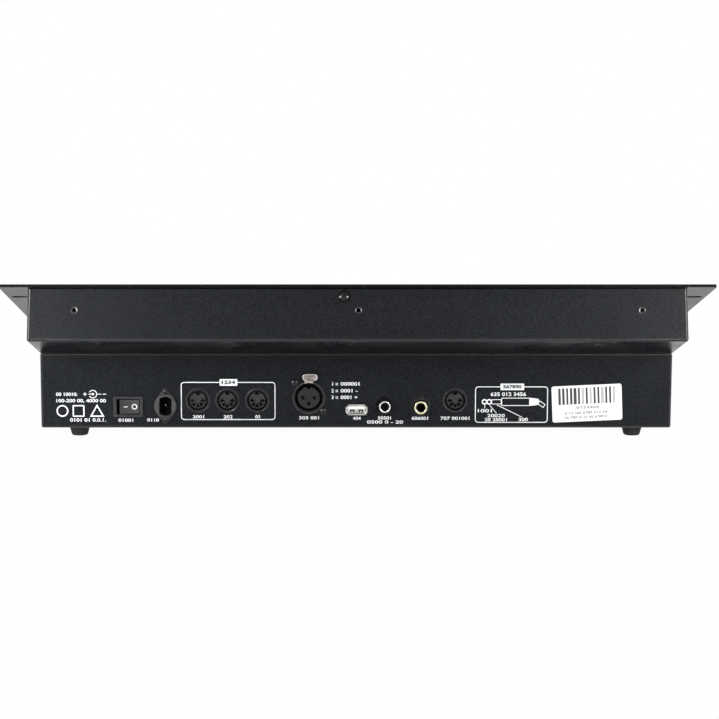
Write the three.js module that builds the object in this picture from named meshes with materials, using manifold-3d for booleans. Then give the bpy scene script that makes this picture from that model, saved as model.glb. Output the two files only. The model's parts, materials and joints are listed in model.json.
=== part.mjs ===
// A sloping 19 inch rack-format DMX lighting desk.
// Millimetres, +Z up. The user sits at -Y, the sockets face +Y, the origin is under the middle
// of the desk on the table.
import * as THREE from "three";
import { mergeVertices } from "three/addons/utils/BufferGeometryUtils.js";
import Module from "manifold-3d";

const wasm = await Module();
wasm.setup();

// Driving dimensions of the housing
const panelWidth = 482.6; // 19 inch rack width over the ears
const panelDepth = 221.5; // five rack units, front edge to rear edge
const panelThickness = 2;
const panelCorner = 1.5;
const slope = THREE.MathUtils.degToRad(16); // the panel falls towards the user
const caseWidth = 444.5;
const caseInset = 3.9; // panel edge beyond the case, front and rear
const trayDepth = 36.1; // upper case, square to the panel
const stepLength = 60.1; // how far the upper case overhangs the lower one, along its underside
const lowerRearHeight = 52.8;
const lowerLength = 135.6; // lower case, front to rear
const sheet = 1.2; // folded steel
const bend = 1.6; // outside radius of the folds
const gap = 0.3; // play between pieces that touch
const lipWidth = 10; // folded lips that carry the panel
const passage = { halfWidth: 208, frontY: -198, rearY: -72 }; // opening from the upper case to the lower one
const footHeight = 7.4;
const footTopRadius = 7.4;
const footBottomRadius = 5.8;
const footInset = 15.4; // foot centre from the lower case's front and rear faces
const footSide = 197; // foot centre from the middle
const beyond = 1; // how far a cutting tool stands out of what it cuts

// Places that follow from the driving dimensions, in the side view
const cosSlope = Math.cos(slope);
const sinSlope = Math.sin(slope);
const stepTopZ = footHeight + lowerRearHeight;
const overhangZ = stepTopZ + stepLength * sinSlope;
const deckRearZ = overhangZ + trayDepth * cosSlope + caseInset * sinSlope;
const overhangFromDeck = trayDepth * sinSlope - caseInset * cosSlope;
const rearReach = overhangFromDeck - bend * (cosSlope + sinSlope - 1);
const frontReach = panelDepth * cosSlope + panelThickness * sinSlope;
const deckRearY = (frontReach - rearReach) / 2; // the desk is centred on the origin
const rearFaceY = deckRearY + overhangFromDeck - stepLength * cosSlope;
const lowerFrontY = rearFaceY - lowerLength;

// Controls on the panel: x across, d is the distance from the panel's rear edge
const channelCount = 8;
const faderPitch = 24;
const firstFaderX = -118;
const channelFaders = Array.from({ length: channelCount }, (_, i) => ({
  name: `channel_fader_cap_${i + 1}`,
  x: firstFaderX + i * faderPitch,
}));
const masterFaders = [
  { name: "speed_fader_cap", x: 86 },
  { name: "fade_fader_cap", x: 110 },
];
const faders = [...channelFaders, ...masterFaders];
const faderTravel = 60;
const faderRestD = 168; // lever centre with the fader pulled down
const faderBodyWidth = 9;
const faderBodyLength = 76;
const faderSlotWidth = 2.6;
const leverWidth = 1.2;
const leverLength = 4;
const leverBottom = -4.8;

const keyWidth = 13;
const keyLength = 10;
const blackoutWidth = 22;
const sceneRowD = 66;
const functionRowD = 84;
const fixtureRows = [62, 94, 126, 158];
const fixtureColumns = [-194, -160];
const functionKeys = ["program_button", "page_button", "mode_button", "tap_button"];
const functionColumns = [142, 162, 182, 202];
const keys = [
  ...fixtureRows.flatMap((d, row) =>
    fixtureColumns.map((x, column) => ({
      name: `fixture_button_${row * fixtureColumns.length + column + 1}`,
      x,
      d,
      width: keyWidth,
    })),
  ),
  ...channelFaders.map((fader, i) => ({
    name: `scene_button_${i + 1}`,
    x: fader.x,
    d: sceneRowD,
    width: keyWidth,
  })),
  ...functionKeys.map((name, i) => ({ name, x: functionColumns[i], d: functionRowD, width: keyWidth })),
  { name: "blackout_button", x: 98, d: sceneRowD, width: blackoutWidth },
];
const keyTop = 5.2; // above the panel's underside
const keyBottom = -2.2;
const keyBevel = 0.6;
const keyCorner = 0.8;
const keyFlange = 1.5; // ledge that holds the key under the panel
const keyFlangeZ = [-1.7, -0.7];
const keyStemRadius = 2;
const keyStemBottom = -4.6;
const openingCorner = 1.3;
const switchTop = -6.2;
const boardTop = -9.4;
const boardThickness = 1.6;
const boardBottom = boardTop - boardThickness;

const displayX = 175;
const displayD = 45;
const windowWidth = 72;
const windowLength = 26;
const displayWidth = 80;
const displayLength = 36;
const screenBorder = 2; // the module's frame inside the window
const screenDepth = 1.4;

const stickX = 175;
const stickD = 160;
const pivotDepth = -8; // joystick pivot below the panel's underside
const domeRadius = 18;
const domeWall = 1.5;
const domeRimAngle = THREE.MathUtils.degToRad(80);
const collarRadius = 20.5;
const collarTop = 3;
const stickPinRadius = 1.4;

// Weld studs under the panel that carry the boards: x across, y up the slope
const studs = [
  [-208, -24],
  [-130, -24],
  [0, -24],
  [120, -24],
  [125, -88],
  [-208, -176],
  [-148, -176],
  [-130, -104],
  [-130, -180],
  [68, -104],
  [68, -180],
  [122, -180],
];
const studRadius = 2;

const earSlotX = 232.6;
const earSlotD = 37.7; // slot centre from the nearer panel edge
const earSlotLength = 12;
const earSlotWidth = 6.6;

// Sockets on the rear face: x across, z above the lower case's underside
const rocker = { x: 160.5, z: 15.3, bodyWidth: 18.6, bodyHeight: 12.6 };
const dcInlet = { x: 134.2, z: 15.3, bodyRadius: 7 };
const dinRadius = 7.6;
const dinSockets = [
  { name: "din_socket_thru", x: 111.5, z: 19.6 },
  { name: "din_socket_out", x: 90.8, z: 19.6 },
  { name: "din_socket_in", x: 69.7, z: 19.6 },
  { name: "din_socket_fog", x: -69.7, z: 19.6 },
];
const xlr = { x: 33.4, z: 21.7, radius: 11.1, boreRadius: 9.55 };
const latchSlot = { halfWidth: 3.8, top: 15 }; // slot over the XLR socket's hole for its latch
const usb = { x: -0.3, z: 13.1, flareWidth: 15.2, flareHeight: 7.6 };
const rca = { x: -20, z: 16.5, neckRadius: 4.6 };
const remote = { x: -45.2, z: 15.8, barrelRadius: 4.7 };
const socketDepth = 14.5; // socket bodies behind the rear face
const threadedHoleX = [-191, 0, 191];
const threadedHoleDrop = 14.5; // below the panel, on the upper rear face
const threadedHoleRadius = 1.6;

// Solids from three.js shapes, joined and cut as manifolds

function solid(geometry) {
  const loose = geometry.index ? geometry.toNonIndexed() : geometry;
  const bare = new THREE.BufferGeometry().setAttribute("position", loose.getAttribute("position"));
  const merged = mergeVertices(bare, 1e-4);
  return new wasm.Manifold(
    new wasm.Mesh({
      numProp: 3,
      vertProperties: merged.attributes.position.array,
      triVerts: new Uint32Array(merged.index.array),
    }),
  );
}

function geometryOf(manifold) {
  const mesh = manifold.getMesh();
  const stride = mesh.numProp;
  const points = new Float32Array(mesh.numVert * 3);
  for (let i = 0; i < mesh.numVert; i++) {
    points.set(mesh.vertProperties.subarray(i * stride, i * stride + 3), i * 3);
  }
  const geometry = new THREE.BufferGeometry();
  geometry.setAttribute("position", new THREE.BufferAttribute(points, 3));
  geometry.setIndex(new THREE.BufferAttribute(mesh.triVerts, 1));
  geometry.computeVertexNormals();
  return geometry;
}

const join = (first, ...others) => others.reduce((sum, part) => sum.add(part), first);
const cut = (first, ...tools) => tools.reduce((rest, tool) => rest.subtract(tool), first);

function slab([x0, x1], [y0, y1], [z0, z1]) {
  const box = new THREE.BoxGeometry(x1 - x0, y1 - y0, z1 - z0);
  return solid(box.translate((x0 + x1) / 2, (y0 + y1) / 2, (z0 + z1) / 2));
}

// A round bar along Y, with its axis at x, z
function barY(radius, [y0, y1], x = 0, z = 0, sides = 24) {
  const bar = new THREE.CylinderGeometry(radius, radius, y1 - y0, sides);
  return solid(bar.translate(x, (y0 + y1) / 2, z));
}

function barX(radius, [x0, x1], y = 0, z = 0, sides = 12) {
  const bar = new THREE.CylinderGeometry(radius, radius, x1 - x0, sides).rotateZ(Math.PI / 2);
  return solid(bar.translate((x0 + x1) / 2, y, z));
}

function barZ(radius, [z0, z1], x = 0, y = 0, sides = 24) {
  const bar = new THREE.CylinderGeometry(radius, radius, z1 - z0, sides).rotateX(Math.PI / 2);
  return solid(bar.translate(x, y, (z0 + z1) / 2));
}

// A turned piece on the Z axis: [radius, z] points up the outside, starting and ending on the axis
function turned(points, sides = 24) {
  const profile = points.map(([r, z]) => new THREE.Vector2(r, z));
  return solid(new THREE.LatheGeometry(profile, sides).rotateX(Math.PI / 2));
}

function roundedRectangle(width, height, radius) {
  const w = width / 2;
  const h = height / 2;
  const shape = new THREE.Shape();
  shape.moveTo(-w + radius, -h);
  shape.absarc(w - radius, -h + radius, radius, -Math.PI / 2, 0);
  shape.absarc(w - radius, h - radius, radius, 0, Math.PI / 2);
  shape.absarc(-w + radius, h - radius, radius, Math.PI / 2, Math.PI);
  shape.absarc(-w + radius, -h + radius, radius, Math.PI, Math.PI * 1.5);
  return shape;
}

const extruded = (shape, depth, curveSegments, bevel = {}) =>
  new THREE.ExtrudeGeometry(shape, { depth, curveSegments, bevelEnabled: false, ...bevel });

// Where a shape's own x, y and depth go when it is extruded along Z, X or Y
const alongX = new THREE.Matrix4().makeBasis(
  new THREE.Vector3(0, 1, 0),
  new THREE.Vector3(0, 0, 1),
  new THREE.Vector3(1, 0, 0),
);
const alongY = new THREE.Matrix4().makeBasis(
  new THREE.Vector3(-1, 0, 0),
  new THREE.Vector3(0, 0, 1),
  new THREE.Vector3(0, 1, 0),
);

const plateZ = (shape, [z0, z1], x = 0, y = 0, segments = 2) =>
  solid(extruded(shape, z1 - z0, segments).translate(x, y, z0));
const plateX = (shape, [x0, x1], segments = 2) =>
  solid(extruded(shape, x1 - x0, segments).applyMatrix4(alongX).translate(x0, 0, 0));
const plateY = (shape, [y0, y1], x = 0, z = 0, segments = 2) =>
  solid(extruded(shape, y1 - y0, segments).applyMatrix4(alongY).translate(x, y0, z));

// A closed outline through points, with the listed corners rounded
function outline(points, radii) {
  const corners = points.map(([x, y]) => new THREE.Vector2(x, y));
  const shape = new THREE.Shape();
  corners.forEach((corner, i) => {
    const before = corners[(i + corners.length - 1) % corners.length];
    const after = corners[(i + 1) % corners.length];
    const inward = before.clone().sub(corner).normalize();
    const outward = after.clone().sub(corner).normalize();
    const start = corner.clone().addScaledVector(inward, radii[i]);
    const end = corner.clone().addScaledVector(outward, radii[i]);
    if (i === 0) shape.moveTo(start.x, start.y);
    else shape.lineTo(start.x, start.y);
    if (radii[i] > 0) shape.quadraticCurveTo(corner.x, corner.y, end.x, end.y);
  });
  shape.closePath();
  return shape;
}

// Housing

const halfCase = caseWidth / 2;
const trayFrontY = caseInset - panelDepth;
const trayRearY = -caseInset;
const trayMiddleY = (trayFrontY + trayRearY) / 2;
const trayLength = trayRearY - trayFrontY;

// The flat rack plate with every opening of the controls, and the studs welded under it
function topPanel() {
  const blank = roundedRectangle(panelWidth, panelDepth, panelCorner);
  const plate = plateZ(blank, [0, panelThickness], 0, -panelDepth / 2);
  const through = [-beyond, panelThickness + beyond];
  const earSlot = roundedRectangle(earSlotLength, earSlotWidth, earSlotWidth / 2 - 0.01);
  const earSlots = [-earSlotX, earSlotX].flatMap((x) =>
    [-earSlotD, earSlotD - panelDepth].map((y) => plateZ(earSlot, through, x, y)),
  );
  const slotX = [-faderSlotWidth / 2, faderSlotWidth / 2];
  const slotEnd = leverLength / 2 + 1;
  const slotY = [-faderRestD - slotEnd, faderTravel - faderRestD + slotEnd];
  const faderSlots = faders.map(({ x }) => slab(slotX, slotY, through).translate([x, 0, 0]));
  const openingFor = (width, length, x, d) => {
    const shape = roundedRectangle(width + 2 * gap, length + 2 * gap, openingCorner);
    return plateZ(shape, through, x, -d, 1);
  };
  const keyHoles = keys.map(({ x, d, width }) => openingFor(width, keyLength, x, d));
  const window = openingFor(windowWidth, windowLength, displayX, displayD);
  const stickHole = barZ(collarRadius + gap, through, stickX, -stickD, 32);
  const weldStuds = studs.map(([x, y]) =>
    barZ(studRadius, [boardTop + gap, panelThickness / 2], x, y, 8),
  );
  return join(cut(plate, ...earSlots, ...faderSlots, ...keyHoles, window, stickHole), ...weldStuds);
}

// The sloping upper case: a folded tray under the panel, open to the lower case
function upperCase() {
  const x = [-halfCase, halfCase];
  const y = [trayFrontY, trayRearY];
  const corners = plateZ(roundedRectangle(caseWidth, trayLength, bend), [-trayDepth, -gap], 0, trayMiddleY);
  const sideFold = [
    [trayFrontY, -trayDepth],
    [trayRearY, -trayDepth],
    [trayRearY, beyond],
    [trayFrontY, beyond],
  ];
  const endFold = [
    [-halfCase, -trayDepth],
    [halfCase, -trayDepth],
    [halfCase, beyond],
    [-halfCase, beyond],
  ];
  const radii = [bend, bend, 0, 0];
  const outer = corners
    .intersect(plateX(outline(sideFold, radii), x))
    .intersect(plateY(outline(endFold, radii), y));
  const inside = [-halfCase + sheet, halfCase - sheet];
  const hollow = slab(
    inside,
    [trayFrontY + sheet, trayRearY - sheet],
    [-trayDepth + sheet, -gap - sheet],
  );
  const mouth = slab(inside, [trayFrontY + lipWidth, trayRearY - lipWidth], [-gap - 2 * sheet, beyond]);
  const bottomOpening = slab(
    [-passage.halfWidth, passage.halfWidth],
    [passage.frontY, passage.rearY],
    [-trayDepth - beyond, -trayDepth + 2 * sheet],
  );
  const wall = [trayRearY - 2 * sheet, trayRearY + beyond];
  const holes = threadedHoleX.map((holeX) =>
    barY(threadedHoleRadius, wall, holeX, -threadedHoleDrop, 12),
  );
  return cut(outer, hollow, mouth, bottomOpening, ...holes);
}

// Height of the upper case's underside over a place in the side view
const undersideZ = (y) => overhangZ - (deckRearY + overhangFromDeck - y) * Math.tan(slope);

// The lower case: a folded wedge that closes the upper one from below and carries the sockets
function lowerCase() {
  const wedge = (inset, topInset) => {
    const front = lowerFrontY + inset;
    const rear = rearFaceY - inset;
    const bottom = footHeight + inset;
    return outline(
      [
        [front, bottom],
        [rear, bottom],
        [rear, undersideZ(rear) + topInset],
        [front, undersideZ(front) + topInset],
      ],
      [bend - inset, bend - inset, 0, 0],
    );
  };
  const fold = [
    [-halfCase, footHeight],
    [halfCase, footHeight],
    [halfCase, overhangZ],
    [-halfCase, overhangZ],
  ];
  const middleY = (lowerFrontY + rearFaceY) / 2;
  const outer = plateX(wedge(0, -gap), [-halfCase, halfCase])
    .intersect(plateY(outline(fold, [bend, bend, 0, 0]), [lowerFrontY - 1, rearFaceY + 1]))
    .intersect(plateZ(roundedRectangle(caseWidth, lowerLength, bend), [0, overhangZ], 0, middleY));
  const hollow = plateX(wedge(sheet, 5 * beyond), [-halfCase + sheet, halfCase - sheet]);
  return cut(outer, hollow, ...rearOpenings());
}

// The holes of the sockets through the rear wall
function rearOpenings() {
  const wall = [rearFaceY - 2 * sheet, rearFaceY + beyond];
  const at = ({ x, z }, tool) => tool.translate([x, 0, z + footHeight]);
  const rockerHole = roundedRectangle(rocker.bodyWidth + 2 * gap, rocker.bodyHeight + 2 * gap, 0.5);
  const usbX = usb.flareWidth / 2 + gap;
  const usbZ = usb.flareHeight / 2 + gap;
  const latchX = [-latchSlot.halfWidth, latchSlot.halfWidth];
  return [
    at(rocker, plateY(rockerHole, wall, 0, 0, 1)),
    at(dcInlet, barY(dcInlet.bodyRadius + gap, wall)),
    ...dinSockets.map((socket) => at(socket, barY(dinRadius + gap, wall))),
    at(xlr, barY(xlr.radius + gap, wall, 0, 0, 32)),
    at(xlr, slab(latchX, wall, [xlr.radius / 2, latchSlot.top])),
    at(usb, slab([-usbX, usbX], wall, [-usbZ, usbZ])),
    at(rca, barY(rca.neckRadius + gap, wall)),
    at(remote, barY(remote.barrelRadius + gap, wall)),
  ];
}

// A tapered rubber foot with the recess for its screw
function foot() {
  const recessRadius = 2.6;
  const recessDepth = 4;
  const chamfer = 0.6;
  const profile = [
    [0, recessDepth],
    [recessRadius, recessDepth],
    [recessRadius, 0],
    [footBottomRadius - chamfer, 0],
    [footBottomRadius, chamfer],
    [footTopRadius, footHeight - 2 * chamfer],
    [footTopRadius, footHeight - gap],
    [0, footHeight - gap],
  ];
  return turned(profile, 18);
}

// Controls

// A keycap with its ledge under the panel and the stem that reaches the switch
function key(width) {
  const face = roundedRectangle(width - 2 * keyBevel, keyLength - 2 * keyBevel, keyCorner);
  const bevel = { bevelEnabled: true, bevelSegments: 1, bevelSize: keyBevel, bevelThickness: keyBevel };
  const depth = keyTop - keyBottom - 2 * keyBevel;
  const cap = solid(extruded(face, depth, 1, bevel).translate(0, 0, keyBottom + keyBevel));
  const ledgeX = width / 2 + keyFlange;
  const ledgeY = keyLength / 2 + keyFlange;
  const ledge = slab([-ledgeX, ledgeX], [-ledgeY, ledgeY], keyFlangeZ);
  const stem = barZ(keyStemRadius, [keyStemBottom, keyFlangeZ[0] + beyond / 2], 0, 0, 8);
  return join(cap, ledge, stem);
}

// A fader cap: waisted grip, tapered sides and the blade that goes down into the fader
function faderCap() {
  const bottom = panelThickness + 0.6;
  const top = 12.5;
  const halfLength = 11.5;
  const shoulder = 2.5; // height of the rounded ends
  const endLean = 1.5;
  const flatEnd = 4; // where the ends pass into the hollow of the grip
  const hollow = 4.5;
  const halfWidthLow = 5.6;
  const halfWidthHigh = 4.4;
  const grip = new THREE.Shape();
  grip.moveTo(-halfLength, bottom);
  grip.lineTo(halfLength, bottom);
  grip.lineTo(halfLength - endLean, top - shoulder);
  grip.quadraticCurveTo(halfLength - 2, top, halfLength - flatEnd, top);
  grip.quadraticCurveTo(0, top - hollow, flatEnd - halfLength, top);
  grip.quadraticCurveTo(2 - halfLength, top, endLean - halfLength, top - shoulder);
  grip.closePath();
  const body = plateX(grip, [-halfWidthLow - beyond, halfWidthLow + beyond], 4);
  const sides = outline(
    [
      [-halfWidthLow, bottom - beyond],
      [halfWidthLow, bottom - beyond],
      [halfWidthHigh, top + beyond],
      [-halfWidthHigh, top + beyond],
    ],
    [0, 0, 0, 0],
  );
  const tapered = body.intersect(plateY(sides, [-halfLength - beyond, halfLength + beyond]));
  const bladeX = [-leverWidth / 2, leverWidth / 2];
  const blade = slab(bladeX, [-leverLength / 2, leverLength / 2], [leverBottom, bottom + beyond]);
  return join(tapered, blade);
}

// The board with the ten slide faders
function faderBoard() {
  const board = slab([-136, 128], [-186, -97], [boardBottom, boardTop]);
  const middleY = faderTravel / 2 - faderRestD;
  const bodyX = [-faderBodyWidth / 2, faderBodyWidth / 2];
  const bodyY = [middleY - faderBodyLength / 2, middleY + faderBodyLength / 2];
  const slotX = [-leverWidth / 2 - 0.5, leverWidth / 2 + 0.5];
  const slotHalf = (faderTravel + leverLength) / 2 + gap;
  const slotY = [middleY - slotHalf, middleY + slotHalf];
  const bodies = faders.map(({ x }) =>
    slab(bodyX, bodyY, [boardTop - beyond / 2, -2 * gap]).translate([x, 0, 0]),
  );
  const slots = faders.map(({ x }) =>
    slab(slotX, slotY, [leverBottom - 0.8, beyond]).translate([x, 0, 0]),
  );
  return cut(join(board, ...bodies), ...slots);
}

// The board under the keys, with one push switch below each key
function controlBoard() {
  const strip = slab([-214, 216], [-94, -18], [boardBottom, boardTop]);
  const leg = slab([-214, -142], [-182, -90], [boardBottom, boardTop]);
  const halfSwitch = 3;
  const across = [-halfSwitch, halfSwitch];
  const switches = keys.map(({ x, d }) =>
    slab(across, across, [boardTop - beyond / 2, switchTop]).translate([x, -d, 0]),
  );
  return join(strip, leg, ...switches);
}

function displayModule() {
  const halfWidth = displayWidth / 2;
  const halfLength = displayLength / 2;
  const frame = slab([-halfWidth, halfWidth], [-halfLength, halfLength], [boardTop + gap, -2 * gap]);
  const viewX = windowWidth / 2 - screenBorder;
  const viewY = windowLength / 2 - screenBorder;
  return cut(frame, slab([-viewX, viewX], [-viewY, viewY], [-screenDepth, beyond]));
}

function displayWindow() {
  const pane = roundedRectangle(windowWidth, windowLength, openingCorner - gap);
  return plateZ(pane, [-gap, panelThickness - gap], 0, 0, 1);
}

// Joystick, around its pivot

// The box below the panel, the collar through it and the two posts that carry the gimbal
function joystickHousing() {
  const half = 22;
  const floor = -22;
  const floorThickness = 1.5;
  const roofThickness = 2;
  const cavityRadius = 20;
  const underside = -pivotDepth - 2 * gap; // of the panel
  const rim = collarTop - pivotDepth;
  const box = slab([-half, half], [-half, half], [floor - floorThickness, underside]);
  const cavity = barZ(cavityRadius, [floor, underside - roofThickness], 0, 0, 32);
  const collar = barZ(collarRadius, [underside - beyond, rim], 0, 0, 32);
  const throat = turned(
    [
      [0, underside - roofThickness - beyond],
      [17.9, underside - roofThickness - beyond],
      [17.1, -pivotDepth],
      [15.3, rim],
      [15, rim + beyond],
      [0, rim + beyond],
    ],
    32,
  );
  const post = { inner: 12.2, outer: 14.8, halfLength: 3.2, top: 3 };
  const slotHalf = stickPinRadius + 0.4;
  const posts = [-1, 1].map((side) => {
    const x = side > 0 ? [post.inner, post.outer] : [-post.outer, -post.inner];
    const upright = slab(x, [-post.halfLength, post.halfLength], [floor - floorThickness / 3, post.top]);
    const cutX = [x[0] - beyond, x[1] + beyond];
    return cut(upright, slab(cutX, [-slotHalf, slotHalf], [-slotHalf, post.top + beyond]));
  });
  return join(cut(join(box, collar), cavity, throat), ...posts);
}

// The ring that turns on the posts and carries the stick on a crossed axis
function joystickGimbal() {
  const outerRadius = 10.6;
  const innerRadius = 8;
  const halfHeight = 2.6;
  const pinEnd = 14.6;
  const rim = barZ(outerRadius, [-halfHeight, halfHeight], 0, 0, 24);
  const ring = cut(rim, barZ(innerRadius, [-halfHeight - beyond, halfHeight + beyond], 0, 0, 24));
  const bores = barY(stickPinRadius + 0.4, [-outerRadius - beyond, outerRadius + beyond], 0, 0, 12);
  const right = barX(stickPinRadius, [outerRadius - beyond, pinEnd]);
  const left = barX(stickPinRadius, [-pinEnd, beyond - outerRadius]);
  return join(cut(ring, bores), right, left);
}

// Ball, shaft, dust dome and knob turned in one, with the pins of the crossed axis
function joystickStick() {
  const arc = (radius, from, to, steps) =>
    Array.from({ length: steps + 1 }, (_, i) => {
      const angle = from + ((to - from) * i) / steps;
      return [radius * Math.sin(angle), radius * Math.cos(angle)];
    });
  const ballRadius = 4;
  const shaftRadius = 2.5;
  const shaftAngle = (radius) => Math.asin(shaftRadius / radius);
  const profile = [
    [0, -ballRadius],
    ...arc(ballRadius, Math.PI * 0.88, shaftAngle(ballRadius), 4),
    ...arc(domeRadius - domeWall, shaftAngle(domeRadius - domeWall), domeRimAngle, 6),
    ...arc(domeRadius, domeRimAngle, shaftAngle(domeRadius), 6),
    [shaftRadius, 22.5],
    [4.2, 24],
    [7, 25.5],
    [7.8, 28],
    [7.2, 31],
    [5, 32.6],
    [0, 32],
  ];
  const pinHalfLength = 9.8;
  return join(turned(profile, 22), barY(stickPinRadius, [-pinHalfLength, pinHalfLength], 0, 0, 8));
}

// Sockets, around their axis at the rear face, with +Y pointing out

// Five-pin round socket: shield tube, keyed insert and its five contacts
function dinSocket() {
  const faceY = 0.2;
  const grooveOuter = 6.6;
  const grooveInner = 5.9;
  const depth = 6;
  const insertRecess = 0.6;
  const out = faceY + beyond;
  const tube = barY(dinRadius, [-socketDepth, faceY]);
  const groove = cut(barY(grooveOuter, [-depth, out]), barY(grooveInner, [-depth - 1, out + 1]));
  const insertFace = barY(grooveInner + 0.1, [faceY - insertRecess, out]);
  const keyway = slab([-1.5, 1.5], [-depth, out], [4.6, 6.4]);
  const contacts = [-90, -45, 0, 45, 90].map((degrees) => {
    const slot = slab([-0.75, 0.75], [-depth, out], [-4.5, -2.2]);
    const turn = new THREE.Matrix4().makeRotationY(THREE.MathUtils.degToRad(degrees));
    return slot.transform(turn.elements);
  });
  return cut(tube, groove, insertFace, keyway, ...contacts);
}

function xlrShell() {
  const faceY = 1.4;
  const latchHalf = 4.4;
  const shoulderHalf = 8;
  const shoulderLow = 9.2;
  const outer = barY(xlr.radius, [-socketDepth, faceY], 0, 0, 40);
  const bore = barY(xlr.boreRadius, [-socketDepth - beyond, faceY + beyond], 0, 0, 40);
  const above = xlr.radius + beyond;
  const notch = slab([-latchHalf, latchHalf], [-8, faceY + beyond], [6, above]);
  const recess = slab([-shoulderHalf, shoulderHalf], [0.2, faceY + beyond], [shoulderLow, above]);
  return cut(outer, bore, notch, recess);
}

function xlrInsert() {
  const faceY = 0.6;
  const radius = 7.95;
  const flangeRadius = 9.2;
  const flangeFrontY = -11.5;
  const holeRadius = 1.35;
  const holeDepth = 9;
  const holes = [
    [-4, 0],
    [4, 0],
    [0, -4.1],
  ];
  const core = barY(radius, [-socketDepth, faceY], 0, 0, 32);
  const flange = barY(flangeRadius, [-socketDepth, flangeFrontY], 0, 0, 32);
  const deep = [-holeDepth, faceY + beyond];
  const keyway = slab([-1.6, 1.6], deep, [6.2, radius + beyond]);
  const contacts = holes.map(([x, z]) => barY(holeRadius, deep, x, z, 12));
  return cut(join(core, flange), keyway, ...contacts);
}

// Push tab over the socket, with the arm that reaches into the notch of the shell
function xlrLatch() {
  const tabWidth = 10.5;
  const tabHeight = 5.8;
  const tabZ = 14.6;
  const neckHalf = 3.4;
  const shoulderTop = 12.2;
  const tab = plateY(roundedRectangle(tabWidth, tabHeight, 2.2), [1.9, 3.9], 0, tabZ, 2);
  const neck = slab([-neckHalf, neckHalf], [-6, 2.4], [shoulderTop - 0.6, tabZ]);
  const shoulder = outline(
    [
      [-7.4, 9.6],
      [7.4, 9.6],
      [3.6, shoulderTop],
      [-3.6, shoulderTop],
    ],
    [0, 0, 0, 0],
  );
  return join(tab, neck, plateY(shoulder, [1.7, 2.6]));
}

function usbPort() {
  const octagon = (width, height, corner) => {
    const w = width / 2;
    const h = height / 2;
    const rightSide = [
      [w - corner, -h],
      [w, corner - h],
      [w, h - corner],
      [w - corner, h],
    ];
    const leftSide = rightSide.map(([x, y]) => [-x, -y]);
    return outline([...rightSide, ...leftSide], Array(8).fill(0));
  };
  const canWidth = 13.6;
  const canHeight = 6.2;
  const wall = 0.55;
  const mouthX = canWidth / 2 - wall;
  const mouthZ = canHeight / 2 - wall;
  const flare = plateY(octagon(usb.flareWidth, usb.flareHeight, 1.4), [-0.6, 1]);
  const can = plateY(octagon(canWidth, canHeight, 0.4), [-socketDepth, 0]);
  const mouth = slab([-mouthX, mouthX], [-11, 1 + beyond], [-mouthZ, mouthZ]);
  const tongue = slab([-5.5, 5.5], [-12, 0], [0.1, 2]);
  return join(cut(join(flare, can), mouth), tongue);
}

// Phono socket: a barrel on a round base, with the hole for the centre pin
function rcaJack() {
  const barrelEnd = 9.5;
  const boreRadius = 2.8;
  const boreDepth = 4.5;
  const base = barY(5.65, [gap, 1.2]);
  const neck = barY(rca.neckRadius, [-2, 1]);
  const barrel = barY(4.2, [-2, barrelEnd]);
  const body = slab([-5, 5], [-socketDepth, -sheet - gap], [-6, 6]);
  const bore = barY(boreRadius, [barrelEnd - boreDepth, barrelEnd + beyond]);
  const pinHole = barY(1.7, [-8, barrelEnd + beyond], 0, 0, 16);
  return cut(join(base, neck, barrel, body), bore, pinHole);
}

function remoteJack() {
  const barrelEnd = 8.5;
  const boreRadius = 3.2;
  const boreEnd = -13;
  const barrel = barY(remote.barrelRadius, [-2, barrelEnd]);
  const body = slab([-6.5, 6.5], [-socketDepth, -sheet - gap], [-7, 7]);
  return cut(join(barrel, body), barY(boreRadius, [boreEnd, barrelEnd + beyond], 0, 0, 20));
}

// Power inlet: diamond flange, round body with a flat-sided mouth and a centre pin
function dcJack() {
  const roundRadius = 8.25;
  const tipRadius = 1.8;
  const tipZ = 10.8;
  const faceY = 1.9;
  const mouthRadius = 6.6;
  const mouthHalfWidth = 4.3;
  const mouthDepth = 9;
  const pinRadius = 1.05;
  const tangent = Math.PI / 2 - Math.acos((roundRadius - tipRadius) / tipZ);
  const flange = new THREE.Shape();
  flange.absarc(0, tipZ, tipRadius, tangent, Math.PI - tangent);
  flange.absarc(0, 0, roundRadius, Math.PI - tangent, Math.PI + tangent);
  flange.absarc(0, -tipZ, tipRadius, Math.PI + tangent, 2 * Math.PI - tangent);
  flange.absarc(0, 0, roundRadius, -tangent, tangent);
  const plate = plateY(flange, [gap, faceY], 0, 0, 4);
  const body = barY(dcInlet.bodyRadius, [-socketDepth, faceY / 2]);
  const deep = [-mouthDepth, faceY + beyond];
  const sides = slab([-mouthHalfWidth, mouthHalfWidth], deep, [-mouthRadius, mouthRadius]);
  const mouth = barY(mouthRadius, deep).intersect(sides);
  const pin = barY(pinRadius, [-mouthDepth - beyond, -1], 0, 0, 12);
  return join(cut(join(plate, body), mouth), pin);
}

// The switch's bezel and body around the pocket of the rocker
const bezelProud = 1.6;
function rockerFrame() {
  const bodyX = rocker.bodyWidth / 2;
  const bodyZ = rocker.bodyHeight / 2;
  const pocketX = 7.85;
  const pocketZ = 5.35;
  const bezel = plateY(roundedRectangle(21, 14.4, 0.8), [gap, bezelProud], 0, 0, 2);
  const body = slab([-bodyX, bodyX], [-socketDepth, bezelProud / 2], [-bodyZ, bodyZ]);
  const pocket = slab([-pocketX, pocketX], [-9, bezelProud + beyond], [-pocketZ, pocketZ]);
  return cut(join(bezel, body), pocket);
}

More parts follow.
